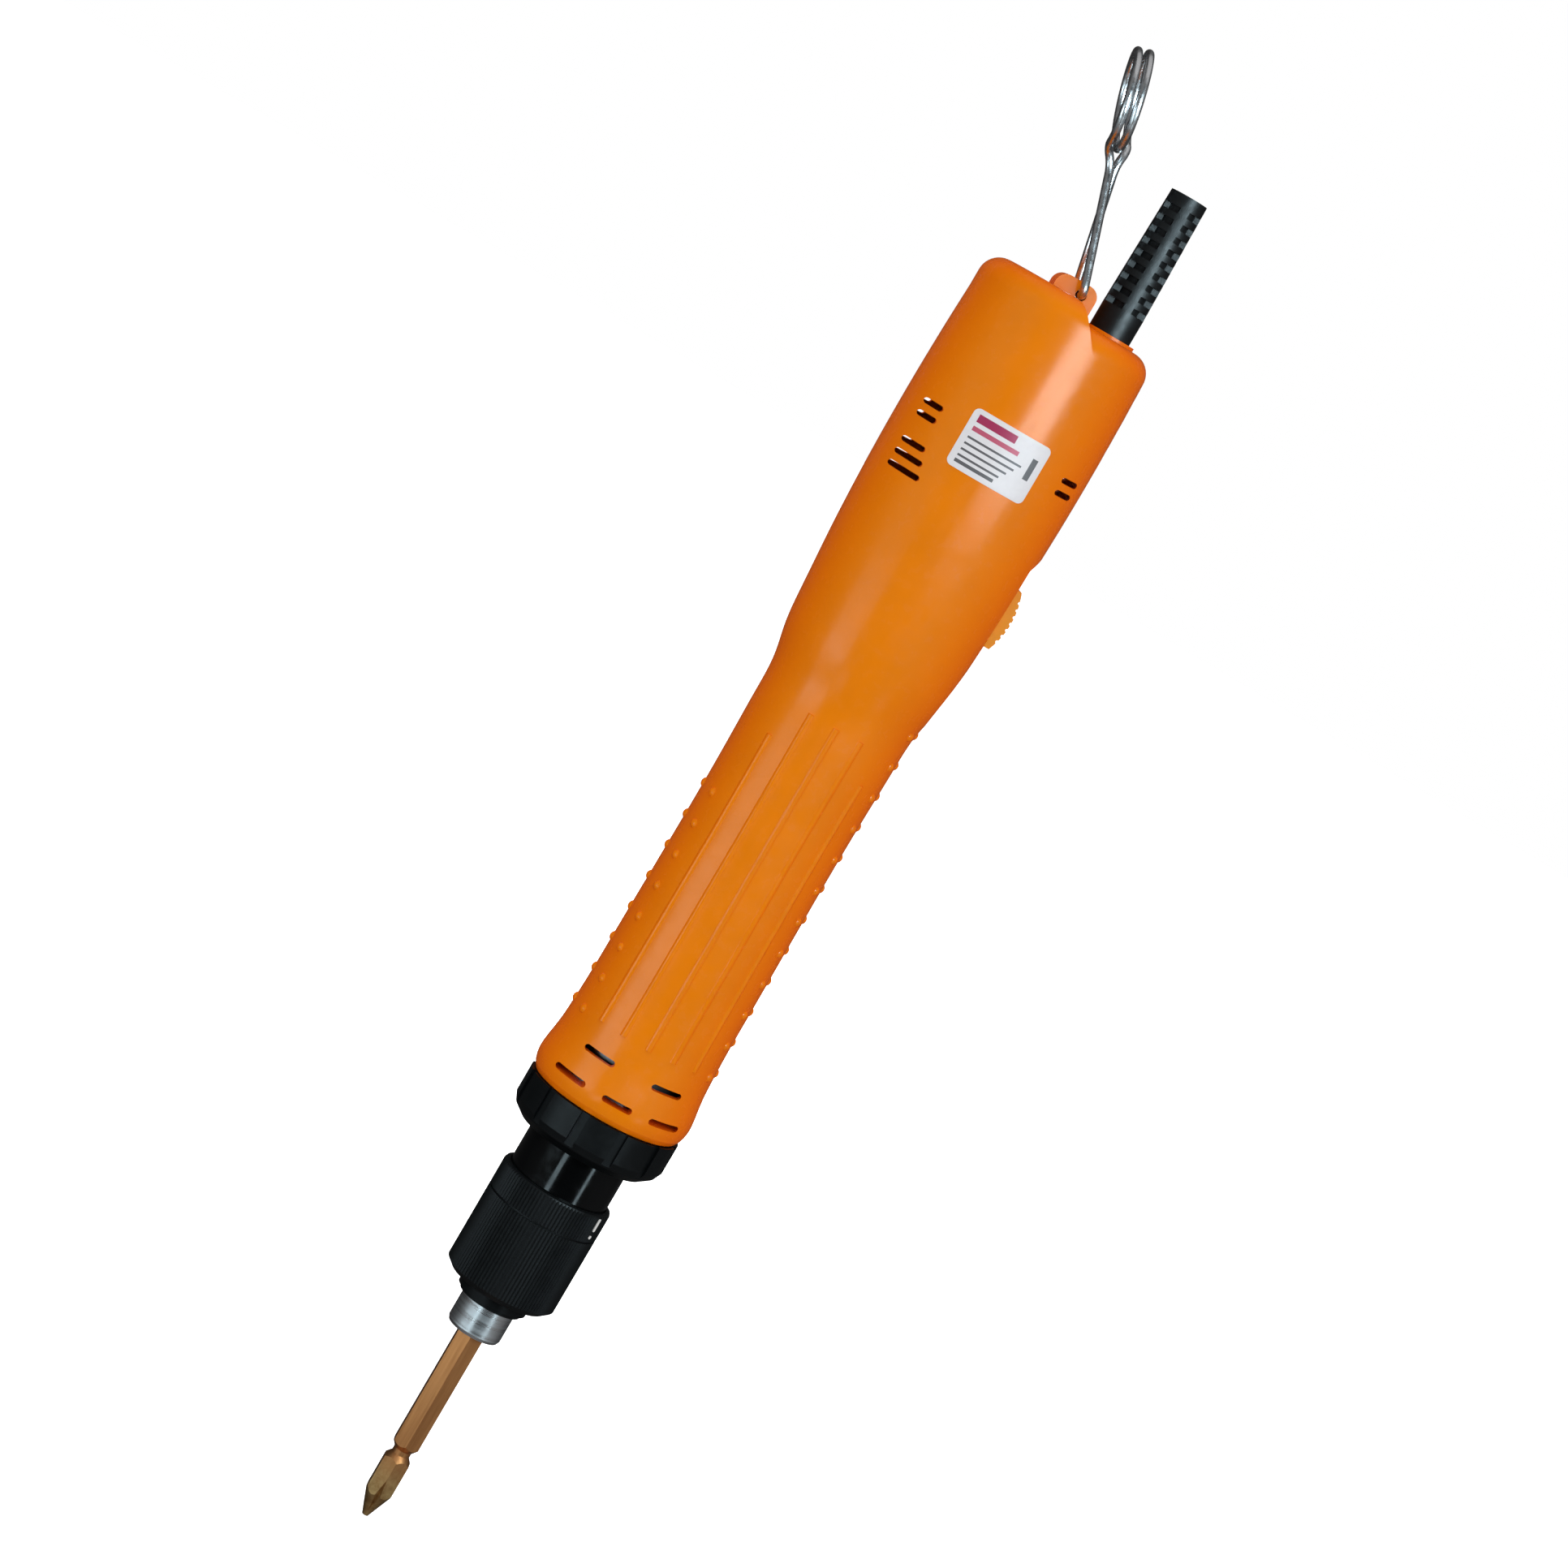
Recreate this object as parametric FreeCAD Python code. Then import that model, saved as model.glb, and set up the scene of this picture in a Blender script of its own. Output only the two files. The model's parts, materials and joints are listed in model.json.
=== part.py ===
"""Inline push-to-start electric screwdriver as separate pieces, in millimetres.

The origin is the tip of the bit and +Z runs up the tool's axis. +X is the side of the direction
switch and of the strain-relief boot. The casing parts on the plane Y = 0, with its front half at -Y.
"""
import FreeCAD, Part
import math
import os

V = FreeCAD.Vector
Y_AXIS = V(0, 1, 0)
Z_AXIS = V(0, 0, 1)
FULL_TURN = 360
HALF_TURN = 180
QUARTER_TURN = 90

# Clearances shared by all pieces
overrun = 1.0
seat_gap = 0.05
running_gap = 0.1
loose_gap = 0.3

# Bit and chuck
bit_flats = 6.35
bit_reach = 52.2
bit_groove_radius = 2.3
bit_groove_width = 1.2
bit_groove_setback = 17.9
bit_groove_slope = 1.75
bit_point_length = 7.3
bit_point_radius = 0.8
bit_wing_width = 1.5
bit_flute_angle = 13
bit_flute_count = 4
socket_wall = 1.28
socket_floor_gap = 0.4
chuck_ball_radius = 1.25
chuck_ball_count = 2
spindle_inset = 1.2
clip_inset = 0.5
clip_thickness = 0.8
clip_groove_depth = 0.5
sleeve_spring_length = 5.3
sleeve_spring_room = 1.15
sleeve_spring_turns = 3
sleeve_wall = 0.725
sleeve_chamfer = 0.8
sleeve_land_below = 2.85
sleeve_land_above = 0.65
sleeve_release_depth = 3.0
sleeve_show = 8.2

# Start travel, spindle and its bearing
start_travel = 2.5
chuck_headroom = 0.9
bearing_length = 9.6
spindle_flange_height = 1.7
spindle_flange_rim = 0.5
drive_headroom = 0.7
drive_flats = 6.0

# Front bush and gear case
bush_gap = 0.175
bush_height = 3.8
bush_step_height = 1.0
bush_step_depth = 0.95
bush_spigot_length = 3.5
bush_spigot_wall = 0.95
tube_wall = 1.8
neck_step = 2.25
neck_show = 10.95
case_wall = 1.4
clutch_plate_drop = 1.15
clutch_plate_thickness = 3.0
clamp_flange_thickness = 3.0

# Clutch and torque knob
knob_height = 21.3
knob_chamfer_height = 1.6
knob_chamfer_depth = 1.8
knob_thread_length = 9.9
knob_skirt_wall = 1.3
knob_skirt_gap = 0.2
knob_knurl_count = 96
knob_knurl_depth = 0.28
scale_ring_height = 7.75
scale_ring_round = 0.9
scale_ring_seam = 0.5
thrust_washer_thickness = 1.2
pressure_washer_thickness = 1.4
clutch_ball_count = 6
clutch_dimple_depth = 0.4
clutch_spring_turns = 5
clutch_wire_share = 0.38

# Two-stage planet gearing
ring_teeth = 27
sun_teeth = 9
planet_teeth = 9
planet_count = 3
ring_wall = 1.47
planet_face = 4.8
carrier_thickness = 1.6
carrier_gap = 0.4
planet_gap = 0.3
tooth_backlash = 0.12
pressure_angle = 20
addendum_share = 0.66
ring_addendum_share = 0.42
dedendum_share = 1.15
ring_dedendum_share = 1.25
pin_radius_share = 1.5

# Ring nut
nut_height = 11.1
nut_wall = 2.3
nut_lip_thickness = 1.9
nut_lip_gap = 0.25
nut_chamfer_height = 1.9
nut_chamfer_depth = 3.3
nut_edge_height = 1.9
nut_edge_depth = 0.9
nut_groove_count = 12
nut_groove_width = 2.2
nut_groove_depth = 0.7

# Casing outline
casing_gap = 0.3
casing_length = 216.5
casing_wall = 2.0
casing_edge = 0.8
spigot_wall = 2.35
bead_radius = 20.2
waist_radius = 18.2
head_radius = 23.45
crown_radius = 22.85
crown_round = 5.2
crown_wall = 3.0
shelf_drop = 4.0
crown_edge_round = 4.5
shelf_slope_angle = 38
front_outline_shares = ((0.006, 0.72), (0.0203, 1.0), (0.037, 0.83), (0.056, 0.53), (0.0735, 0.4),
                        (0.11, 0.25), (0.18, 0.17))
waist_share = 0.34
rear_outline_shares = ((0.42, 0.025), (0.473, 0.06), (0.515, 0.14), (0.55, 0.43), (0.566, 0.52),
                       (0.6, 0.63), (0.654, 0.79), (0.737, 0.95), (0.843, 1.0))

# Casing details
motor_air = 1.2
motor_seat_shares = (0.09, 0.28)
motor_seat_height = 3.0
rib_count = 5
rib_angle_step = 20.5
rib_width = 1.6
rib_height = 0.4
rib_bottom_share = 0.09
rib_top_share = 0.4873
outer_rib_top_share = 0.4457
nub_radius = 1.2
nub_height = 0.68
nub_pitch = 8.4
nub_first_share = 0.0873
nub_row_angle = 26.6
left_nub_count = 8
right_nub_count = 12
front_vent_length = 7.75
front_vent_height = 1.6
front_vent_low_share = 0.024
front_vent_high_share = 0.0587
front_vent_low_across_share = 0.609
front_vent_high_across_share = 0.436
rear_vent_length = 4.5
rear_vent_height = 1.4
rear_vent_pitch = 3.1
rear_vent_growth = 1.0
rear_vent_reach_share = 0.857
rear_vent_pair_share = 0.8237
rear_vent_trio_share = 0.771
boss_radius = 3.2
screw_radius = 1.4
screw_head_radius = 2.7
screw_head_height = 2.0
screw_head_seat = 4.0
screw_bite = 8.0
screw_slot_width = 0.7
screw_slot_depth = 1.0
low_screw_share = 0.495
low_screw_across_share = 0.78
left_screw_drop = 20.0
left_screw_across_share = 0.64
right_screw_across_share = 0.76

# Direction switch
switch_share = 0.6697
switch_recess_depth = 1.4
switch_recess_length = 26.0
switch_ramp_length = 4.0
finger_scoop_length = 18.5
finger_scoop_shares = ((0, 0), (0.37, 0.12), (0.72, 0.68), (1, 1))
slide_travel = 3.0
slide_length = 15.0
slide_width = 8.0
slide_crown = 2.9
slide_round = 1.5
slide_stem_width = 5.0
slide_stem_length = 9.0
slide_serration_count = 7
slide_serration_pitch = 1.7
slide_serration_depth = 0.4
switch_body_length = 21.0
switch_body_width = 8.0
switch_body_depth = 8.0

# Motor
plate_thickness = 2.5
plate_boss_height = 2.0
plate_boss_wall = 1.5
plate_lip = 1.0
shaft_radius = 2.5
rotor_bearing_radius = 6.5
rotor_bearing_race = 1.1
rotor_ball_count = 7
can_length = 68.0
can_wall = 1.2
can_window_count = 6
can_window_width = 6.0
can_window_height = 5.0
can_window_setback = 2.5
magnet_thickness = 1.9
magnet_angle = 130
air_gap = 0.5
fan_setback = 3.0
fan_height = 4.5
fan_blade_count = 9
fan_blade_thickness = 0.9
fan_hub_wall = 2.0
winding_setback = 1.0
winding_end_height = 4.5
winding_bulge_share = 0.6
winding_taper_share = 0.75
core_length = 38.0
core_slot_count = 8
core_slot_width = 2.4
core_slot_floor = 5.0
core_tooth_lip = 0.8
commutator_length = 8.0
commutator_radius = 5.5
commutator_bar_count = 8
commutator_slot_width = 0.5
commutator_slot_depth = 0.6
brush_width = 3.0
brush_height = 5.0
brush_box_wall = 1.0
brush_box_gap = 1.6
rear_plate_thickness = 3.0
rear_boss_height = 4.0
shaft_tail = 1.4

# Push rod and switchgear
rod_radius = 1.0
rod_gap = 0.15
rod_collar_radius = 2.2
rod_collar_height = 1.0
rod_collar_setback = 2.5
rod_tip_length = 4.4
start_spring_turns = 4
start_spring_wire = 0.25
switch_block_width = 12.0
switch_block_depth = 10.0
switch_block_height = 12.0
board_side_gap = 0.8
board_length = 62.0
board_thickness = 1.6
board_setback = 5.0
board_post_radius = 2.0
board_post_inset = 5.0
board_post_low_share = 0.3
board_post_high_share = 0.92
capacitor_radius = 4.0
capacitor_height = 11.0
choke_size = 10.0
component_shares = (0.38, 0.56, 0.76)
lead_radius = 0.8

# Boot, cord clamp, label and bail
boot_edge_room = 12.35
boot_base_radius = 5.2
boot_tip_radius = 4.6
boot_length = 35.7
boot_bore_radius = 3.0
boot_neck_inset = 0.6
boot_flange_rim = 1.6
boot_flange_height = 3.0
boot_rim_radius = 6.5
boot_rim_height = 0.8
shelf_room = 7.85
boot_slot_rows = 9
boot_slot_count = 4
boot_slot_pitch = 3.1
boot_slot_height = 1.5
boot_slot_depth = 1.2
boot_plain_base = 6.4
boot_spine_width = 2.3
clamp_drop = 18.0
clamp_length = 14.8
clamp_width = 6.0
clamp_thickness = 2.5
clamp_post_radius = 2.0
clamp_post_spread = 5.2
clamp_screw_radius = 1.0
clamp_screw_bite = 4.0
clamp_head_radius = 1.9
clamp_head_height = 1.3
label_width = 19.8
label_height = 14.3
label_round = 1.4
label_thickness = 0.15
label_share = 0.8197
lug_width = 10.5
lug_depth = 10.0
lug_height = 4.0
lug_round = 2.8
lug_setback = 4.45
hinge_shift = 1.5
hinge_rise = 1.2
bail_wire_radius = 1.0
bail_hole_gap = 0.35
bail_leg_spread = 7.5
bail_leg_bend = 2.2
bail_neck_spread = 1.7
bail_neck_drop = 6.0
bail_neck_share = 0.28
bail_ring_radius = 11.15
bail_ring_rise = 45.0
bail_ring_pitch = 2.5
bail_ring_start = 25
bail_turns = 2
bail_lean = 15.6
bail_end_gap = 3.0
gap_sample_count = 24
bisection_steps = 40

# Heights worked out from the tip upwards
spindle_front = bit_reach + spindle_inset
clip_bottom = spindle_front + clip_inset
clip_top = clip_bottom + clip_thickness
sleeve_shoulder = clip_top + sleeve_spring_length
chuck_ball_height = sleeve_shoulder + sleeve_land_below + chuck_ball_radius
sleeve_land_top = chuck_ball_height + chuck_ball_radius + sleeve_land_above
sleeve_top = sleeve_land_top + sleeve_release_depth
bit_length = chuck_ball_height + bit_groove_setback
bush_front = bit_reach + sleeve_show
tube_front = bush_front + bush_height
bearing_bottom = sleeve_top + start_travel + chuck_headroom
bearing_top = bearing_bottom + bearing_length
spindle_flange_bottom = bearing_top + seat_gap
spindle_flange_top = spindle_flange_bottom + spindle_flange_height
drive_hub_bottom = spindle_flange_top + start_travel + drive_headroom
knob_bottom = tube_front
thrust_height = knob_bottom + knob_thread_length
scale_ring_bottom = knob_bottom + knob_height
scale_ring_top = scale_ring_bottom + scale_ring_height
nut_bottom = scale_ring_top + neck_show
nut_top = nut_bottom + nut_height
clutch_plate_bottom = scale_ring_top - clutch_plate_drop
clutch_plate_top = clutch_plate_bottom + clutch_plate_thickness
clamp_flange_bottom = nut_bottom + nut_lip_thickness
spigot_bottom = clamp_flange_bottom + clamp_flange_thickness
output_carrier_bottom = clutch_plate_top + carrier_gap
output_carrier_top = output_carrier_bottom + carrier_thickness
output_planet_bottom = output_carrier_top + planet_gap
output_planet_top = output_planet_bottom + planet_face
input_carrier_bottom = output_planet_top + carrier_gap
input_carrier_top = input_carrier_bottom + carrier_thickness
input_planet_bottom = input_carrier_top + planet_gap
input_planet_top = input_planet_bottom + planet_face
gear_top = input_planet_top + carrier_gap + planet_gap
plate_top = gear_top + plate_thickness
front_bearing_bottom = gear_top + plate_lip
front_bearing_top = plate_top + plate_boss_height
can_top = plate_top + can_length
fan_bottom = front_bearing_top + fan_setback
fan_top = fan_bottom + fan_height
front_winding_bottom = fan_top + winding_setback
core_bottom = front_winding_bottom + winding_end_height
core_top = core_bottom + core_length
rear_winding_top = core_top + winding_end_height
commutator_bottom = rear_winding_top + winding_setback
commutator_top = commutator_bottom + commutator_length
rear_plate_top = can_top + rear_plate_thickness
rear_bearing_top = rear_plate_top + rear_boss_height
shaft_top = rear_bearing_top + shaft_tail
rod_collar_bottom = shaft_top + rod_collar_setback
rod_collar_top = rod_collar_bottom + rod_collar_height
rod_top = rod_collar_top + rod_tip_length
switch_block_bottom = rod_top + start_travel + running_gap
switch_block_top = switch_block_bottom + switch_block_height
board_bottom = switch_block_bottom - board_setback
board_top = board_bottom + board_length
casing_bottom = nut_top + casing_gap
casing_top = casing_bottom + casing_length
shelf_top = casing_top - shelf_drop
switch_height = casing_bottom + switch_share * casing_length

# Radii worked out from the bit outwards and from the casing inwards
motor_radius = waist_radius - casing_wall - motor_air
neck_radius = motor_radius - neck_step
socket_flats = bit_flats + running_gap
socket_corner = socket_flats / math.sqrt(3)
spindle_radius = socket_corner + socket_wall
clip_groove_radius = spindle_radius - clip_groove_depth
sleeve_bore = spindle_radius + seat_gap
sleeve_relief = spindle_radius + sleeve_spring_room
sleeve_radius = sleeve_relief + sleeve_wall
bush_bore = sleeve_radius + bush_gap
bush_spigot_radius = bush_bore + bush_spigot_wall
tube_radius = bush_bore + tube_wall + bush_gap
tube_bore = tube_radius - tube_wall
bush_radius = tube_radius - seat_gap
drive_hub_radius = spindle_radius + spindle_flange_rim
spindle_room = drive_hub_radius + running_gap
drive_socket_flats = drive_flats + running_gap
drive_tang_top = output_carrier_top - start_travel - running_gap
knob_bore = tube_radius + running_gap
knob_cavity = neck_radius + knob_skirt_gap
knob_radius = knob_cavity + knob_skirt_wall
case_bore = neck_radius - case_wall
ring_radius = case_bore - seat_gap
ring_root = ring_radius - ring_wall
gear_module = ring_root / (ring_teeth / 2 + ring_dedendum_share)
ring_tip = gear_module * (ring_teeth / 2 - ring_addendum_share)
pin_circle = gear_module * (sun_teeth + planet_teeth) / 2
pin_radius = gear_module * pin_radius_share
carrier_radius = ring_tip - loose_gap
clutch_ball_circle = (ring_root + ring_radius) / 2
clutch_ball_radius = (clutch_plate_thickness + clutch_dimple_depth) / 2
clutch_ball_height = clutch_plate_bottom + clutch_ball_radius
washer_bore = tube_radius + running_gap
washer_radius = knob_cavity - loose_gap
spigot_bore = motor_radius + seat_gap
spigot_radius = spigot_bore + spigot_wall
nut_radius = spigot_radius + nut_wall
can_bore = motor_radius - can_wall
magnet_bore = can_bore - magnet_thickness
core_radius = magnet_bore - air_gap
fan_radius = can_bore - air_gap
rod_bore = rod_radius + rod_gap
board_front = switch_block_depth / 2
board_back = board_front + board_thickness
boot_offset = min(head_radius, crown_radius) - boot_edge_room
shelf_start = boot_offset - shelf_room
lug_offset = shelf_start - lug_setback
hinge_offset = lug_offset + hinge_shift
boot_neck_radius = boot_base_radius - boot_neck_inset
clamp_gap = boot_bore_radius + running_gap
bearing_race_height = front_bearing_top - front_bearing_bottom
lead_offset = rotor_bearing_radius + plate_boss_wall + lead_radius + running_gap


def between(low, high, share):
    """The value a share of the way from low to high."""
    return low + (high - low) * share


def casing_height(share):
    """The height at a share of the casing's length."""
    return casing_bottom + share * casing_length


def outline_points(inset):
    """Radius and height of the casing's flowing side, drawn in by an inset."""
    points = []
    for height_share, radius_share in front_outline_shares:
        radius = between(waist_radius, bead_radius, radius_share) - inset
        points.append((radius, casing_height(height_share)))
    points.append((waist_radius - inset, casing_height(waist_share)))
    for height_share, radius_share in rear_outline_shares:
        radius = between(waist_radius, head_radius, radius_share) - inset
        points.append((radius, casing_height(height_share)))
    points.append((crown_radius - inset, shelf_top - crown_round))
    return points


def side_curve(points):
    """A smooth curve through radius and height pairs, in the plane Y = 0."""
    curve = Part.BSplineCurve()
    curve.interpolate([V(radius, 0, height) for radius, height in points])
    return curve


def side_parameter(curve, height):
    """Where a side curve passes a height, found by halving."""
    low, high = curve.FirstParameter, curve.LastParameter
    for step in range(bisection_steps):
        middle = (low + high) / 2
        if curve.value(middle).z < height:
            low = middle
        else:
            high = middle
    return high


def side_radius(height):
    """The casing's outer radius at a height."""
    curve = side_curve(outline_points(0))
    return curve.value(side_parameter(curve, height)).x


def cylinder(radius, bottom, top, x=0, y=0):
    """A cylinder along Z."""
    return Part.makeCylinder(radius, top - bottom, V(x, y, bottom))


def ring(bore, radius, bottom, top):
    """A ring round the tool's axis."""
    return cylinder(radius, bottom, top).cut(cylinder(bore, bottom - overrun, top + overrun))


def box(low, high):
    """A box between two corners."""
    size = high - low
    return Part.makeBox(size.x, size.y, size.z, low)


def cross_cylinder(radius, start, end, x, z):
    """A cylinder along Y from start to end."""
    return Part.makeCylinder(radius, end - start, V(x, start, z), Y_AXIS)


def turned(points):
    """A solid turned about the tool's axis from radius and height pairs."""
    corners = [V(radius, 0, height) for radius, height in points]
    outline = Part.makePolygon(corners + corners[:1])
    return Part.Face(outline).revolve(V(0, 0, 0), Z_AXIS, FULL_TURN)


def prism(points, bottom, top):
    """An upright prism on an outline of plan points."""
    corners = [V(x, y, bottom) for x, y in points]
    outline = Part.makePolygon(corners + corners[:1])
    return Part.Face(outline).extrude(V(0, 0, top - bottom))


def polar(radius, degrees):
    """A plan point at a radius and an angle."""
    angle = math.radians(degrees)
    return radius * math.cos(angle), radius * math.sin(angle)


def hexagon(flats, bottom, top):
    """A hexagonal prism with corners on the Y axis."""
    corner = flats / math.sqrt(3)
    points = [polar(corner, QUARTER_TURN + FULL_TURN * i / 6) for i in range(6)]
    return prism(points, bottom, top)


def around(shape, degrees):
    """A copy turned about the tool's axis."""
    copy = shape.copy()
    copy.rotate(V(0, 0, 0), Z_AXIS, degrees)
    return copy


def around_evenly(shape, count):
    """Copies of a shape, spaced evenly about the tool's axis."""
    return [around(shape, FULL_TURN * i / count) for i in range(count)]


def join(first, *others):
    """One solid from touching shapes."""
    return first.fuse(list(others)).removeSplitter()


def stadium(length, width, near, far):
    """A slot-shaped bar along -Y from near to far, with its length along X."""
    half = (length - width) / 2
    radius = width / 2
    low, high = V(-half, 0, -radius), V(half, 0, -radius)
    edges = [
        Part.LineSegment(low, high),
        Part.Arc(high, V(half + radius, 0, 0), V(half, 0, radius)),
        Part.LineSegment(V(half, 0, radius), V(-half, 0, radius)),
        Part.Arc(V(-half, 0, radius), V(-half - radius, 0, 0), low),
    ]
    wire = Part.Wire([edge.toShape() for edge in edges])
    bar = Part.Face(wire).extrude(V(0, near - far, 0))
    bar.translate(V(0, -near, 0))
    return bar


def biarc(start, start_way, end, end_way):
    """Two arcs, or a line, from start to end along the given directions."""
    span = end - start
    ways = start_way + end_way
    bend = 1 - start_way.dot(end_way)
    if bend < 1e-9:
        return [Part.LineSegment(start, end).toShape()]
    along = span.dot(ways)
    reach = (math.sqrt(along ** 2 + 2 * bend * span.dot(span)) - along) / (2 * bend)
    first_corner = start + start_way * reach
    last_corner = end - end_way * reach
    middle = (first_corner + last_corner) * 0.5
    arcs = []
    for near, corner, far in ((start, first_corner, middle), (middle, last_corner, end)):
        centre = (near + far) * 0.5
        half = near.distanceToPoint(far) / 2
        swell = half * math.tan(math.acos(min(1, half / reach)) / 2)
        arcs.append(Part.Arc(near, centre + (corner - centre).normalize() * swell, far).toShape())
    return arcs


def wire_path(stations):
    """A smooth path of lines and arcs through points with directions."""
    edges = []
    for (start, start_way), (end, end_way) in zip(stations, stations[1:]):
        edges += biarc(start, start_way, end, end_way)
    return Part.Wire(edges)


def wire_tube(path, radius):
    """A round wire along a path."""
    first = path.Edges[0]
    start = first.valueAt(first.FirstParameter)
    way = first.tangentAt(first.FirstParameter)
    section = Part.Wire(Part.makeCircle(radius, start, way))
    return path.makePipeShell([section], True, False)


def coil(radius, wire_radius, bottom, top, turns):
    """A compression spring between two heights, wound in quarter turns."""
    rise = top - bottom - 2 * (wire_radius + seat_gap)
    steps = 4 * turns
    slope = rise / (2 * math.pi * turns)
    stations = []
    for i in range(steps + 1):
        angle = QUARTER_TURN * i
        x, y = polar(radius, angle)
        way_x, way_y = polar(radius, angle + QUARTER_TURN)
        height = bottom + wire_radius + seat_gap + rise * i / steps
        stations.append((V(x, y, height), V(way_x, way_y, slope).normalize()))
    return wire_tube(wire_path(stations), wire_radius)


def tooth_outline(teeth, tip, root, thinning):
    """Plan points of involute teeth, with a tooth centred on +X."""
    pitch_radius = gear_module * teeth / 2
    base = pitch_radius * math.cos(math.radians(pressure_angle))
    half_pitch_angle = math.pi / (2 * teeth) - thinning / (2 * pitch_radius)

    def involute(radius):
        angle = math.acos(min(1, base / radius))
        return math.tan(angle) - angle

    start = max(root, base)
    radii = [root] + [between(start, tip, i / 3) for i in range(4)]
    flank = []
    for radius in radii:
        flank.append((radius, half_pitch_angle + involute(pitch_radius) - involute(max(radius, base))))
    if root >= base:
        flank = flank[1:]
    points = []
    for i in range(teeth):
        middle = 2 * math.pi * i / teeth
        side = [(r, middle - a) for r, a in flank] + [(r, middle + a) for r, a in reversed(flank)]
        points += [polar(r, math.degrees(a)) for r, a in side]
    return points


def gear(teeth, bottom, top):
    """An outside gear of the train."""
    half = teeth / 2
    tip = gear_module * (half + addendum_share)
    root = gear_module * (half - dedendum_share)
    return prism(tooth_outline(teeth, tip, root, tooth_backlash), bottom, top)


def save(name, *shapes):
    """Writes one node, as a solid or as a group of solids."""
    shape = shapes[0] if len(shapes) == 1 else Part.makeCompound(list(shapes))
    shape.exportStep(f"parts/{name}.step")


def make_bit():
    """The double-ended hexagonal bit with its two necks and cross points."""
    blank = hexagon(bit_flats, 0, bit_length)
    corner = bit_flats / math.sqrt(3)
    half_neck = bit_groove_width / 2
    point = [(0, 0), (bit_point_radius, 0), (corner, bit_point_length)]
    slope_start = half_neck + bit_groove_slope
    neck_low = [
        (corner, bit_groove_setback - slope_start),
        (bit_groove_radius, bit_groove_setback - half_neck),
        (bit_groove_radius, bit_groove_setback + half_neck),
        (corner, bit_groove_setback + slope_start),
    ]
    lower = point + neck_low
    upper = [(radius, bit_length - height) for radius, height in reversed(lower)]
    body = blank.common(turned(lower + upper))
    half_wing = bit_wing_width / 2
    flute = box(V(half_wing, half_wing, -bit_point_length), V(bit_flats, bit_flats, 2 * bit_point_length))
    flute.rotate(V(half_wing, half_wing, 0), V(-1, 1, 0), bit_flute_angle)
    flute = around(flute, HALF_TURN / bit_flute_count)
    flutes = around_evenly(flute, bit_flute_count)
    mirrored = [shape.mirror(V(0, 0, bit_length / 2), Z_AXIS) for shape in flutes]
    return body.cut(flutes + mirrored)


def chuck_ball_places():
    """Centres of the balls that hold the bit by its neck."""
    circle = bit_groove_radius + chuck_ball_radius
    turn = FULL_TURN / chuck_ball_count
    return [V(*polar(circle, turn * i), chuck_ball_height) for i in range(chuck_ball_count)]


def make_spindle():
    """The spindle: hexagonal socket, ball holes, clip groove, flange and drive tang."""
    body = turned([
        (0, spindle_front), (spindle_radius, spindle_front), (spindle_radius, spindle_flange_bottom),
        (drive_hub_radius, spindle_flange_bottom), (drive_hub_radius, spindle_flange_top),
        (0, spindle_flange_top),
    ])
    tang = hexagon(drive_flats, spindle_flange_top, drive_tang_top)
    socket = hexagon(socket_flats, spindle_front - overrun, bit_length + socket_floor_gap)
    groove = ring(clip_groove_radius, spindle_radius + overrun, clip_bottom, clip_top)
    holes = []
    for place in chuck_ball_places():
        way = V(place.x, place.y, 0)
        holes.append(Part.makeCylinder(chuck_ball_radius + seat_gap, spindle_radius, V(0, 0, place.z), way))
    return join(body, tang).cut([socket, groove] + holes)


def make_sleeve():
    """The chuck sleeve, with a land that holds the balls in and a relief that frees them."""
    return turned([
        (sleeve_relief, bit_reach), (sleeve_radius - sleeve_chamfer / 2, bit_reach),
        (sleeve_radius, bit_reach + sleeve_chamfer), (sleeve_radius, sleeve_top),
        (sleeve_relief, sleeve_top), (sleeve_relief, sleeve_land_top), (sleeve_bore, sleeve_land_top),
        (sleeve_bore, sleeve_shoulder), (sleeve_relief, sleeve_shoulder),
    ])


def make_front_bush():
    """The stepped bush at the mouth of the gear case."""
    step_radius = bush_radius - bush_step_depth
    step_top = bush_front + bush_step_height
    spigot_top = tube_front + bush_spigot_length
    return turned([
        (bush_bore, bush_front), (step_radius, bush_front), (step_radius, step_top),
        (bush_radius, step_top), (bush_radius, tube_front), (bush_spigot_radius, tube_front),
        (bush_spigot_radius, spigot_top), (bush_bore, spigot_top),
    ])


def make_gear_case():
    """The gear case: threaded tube, clutch plate, neck and the flange that the ring nut clamps."""
    flange_radius = spigot_radius - loose_gap
    spigot_top = tube_front + bush_spigot_length
    body = turned([
        (spindle_room, bearing_top), (tube_bore, bearing_top), (tube_bore, spigot_top),
        (bush_spigot_radius, spigot_top), (bush_spigot_radius, tube_front),
        (tube_radius, tube_front), (tube_radius, clutch_plate_bottom), (neck_radius, clutch_plate_bottom),
        (neck_radius, clamp_flange_bottom), (flange_radius, clamp_flange_bottom),
        (flange_radius, spigot_bottom), (neck_radius, spigot_bottom), (neck_radius, gear_top),
        (case_bore, gear_top),
        (case_bore, clutch_plate_top), (spindle_room, clutch_plate_top),
    ])
    low, high = clutch_plate_bottom - overrun, clutch_plate_top + overrun
    hole = cylinder(clutch_ball_radius + seat_gap, low, high, clutch_ball_circle)
    return body.cut(around_evenly(hole, clutch_ball_count))


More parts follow.
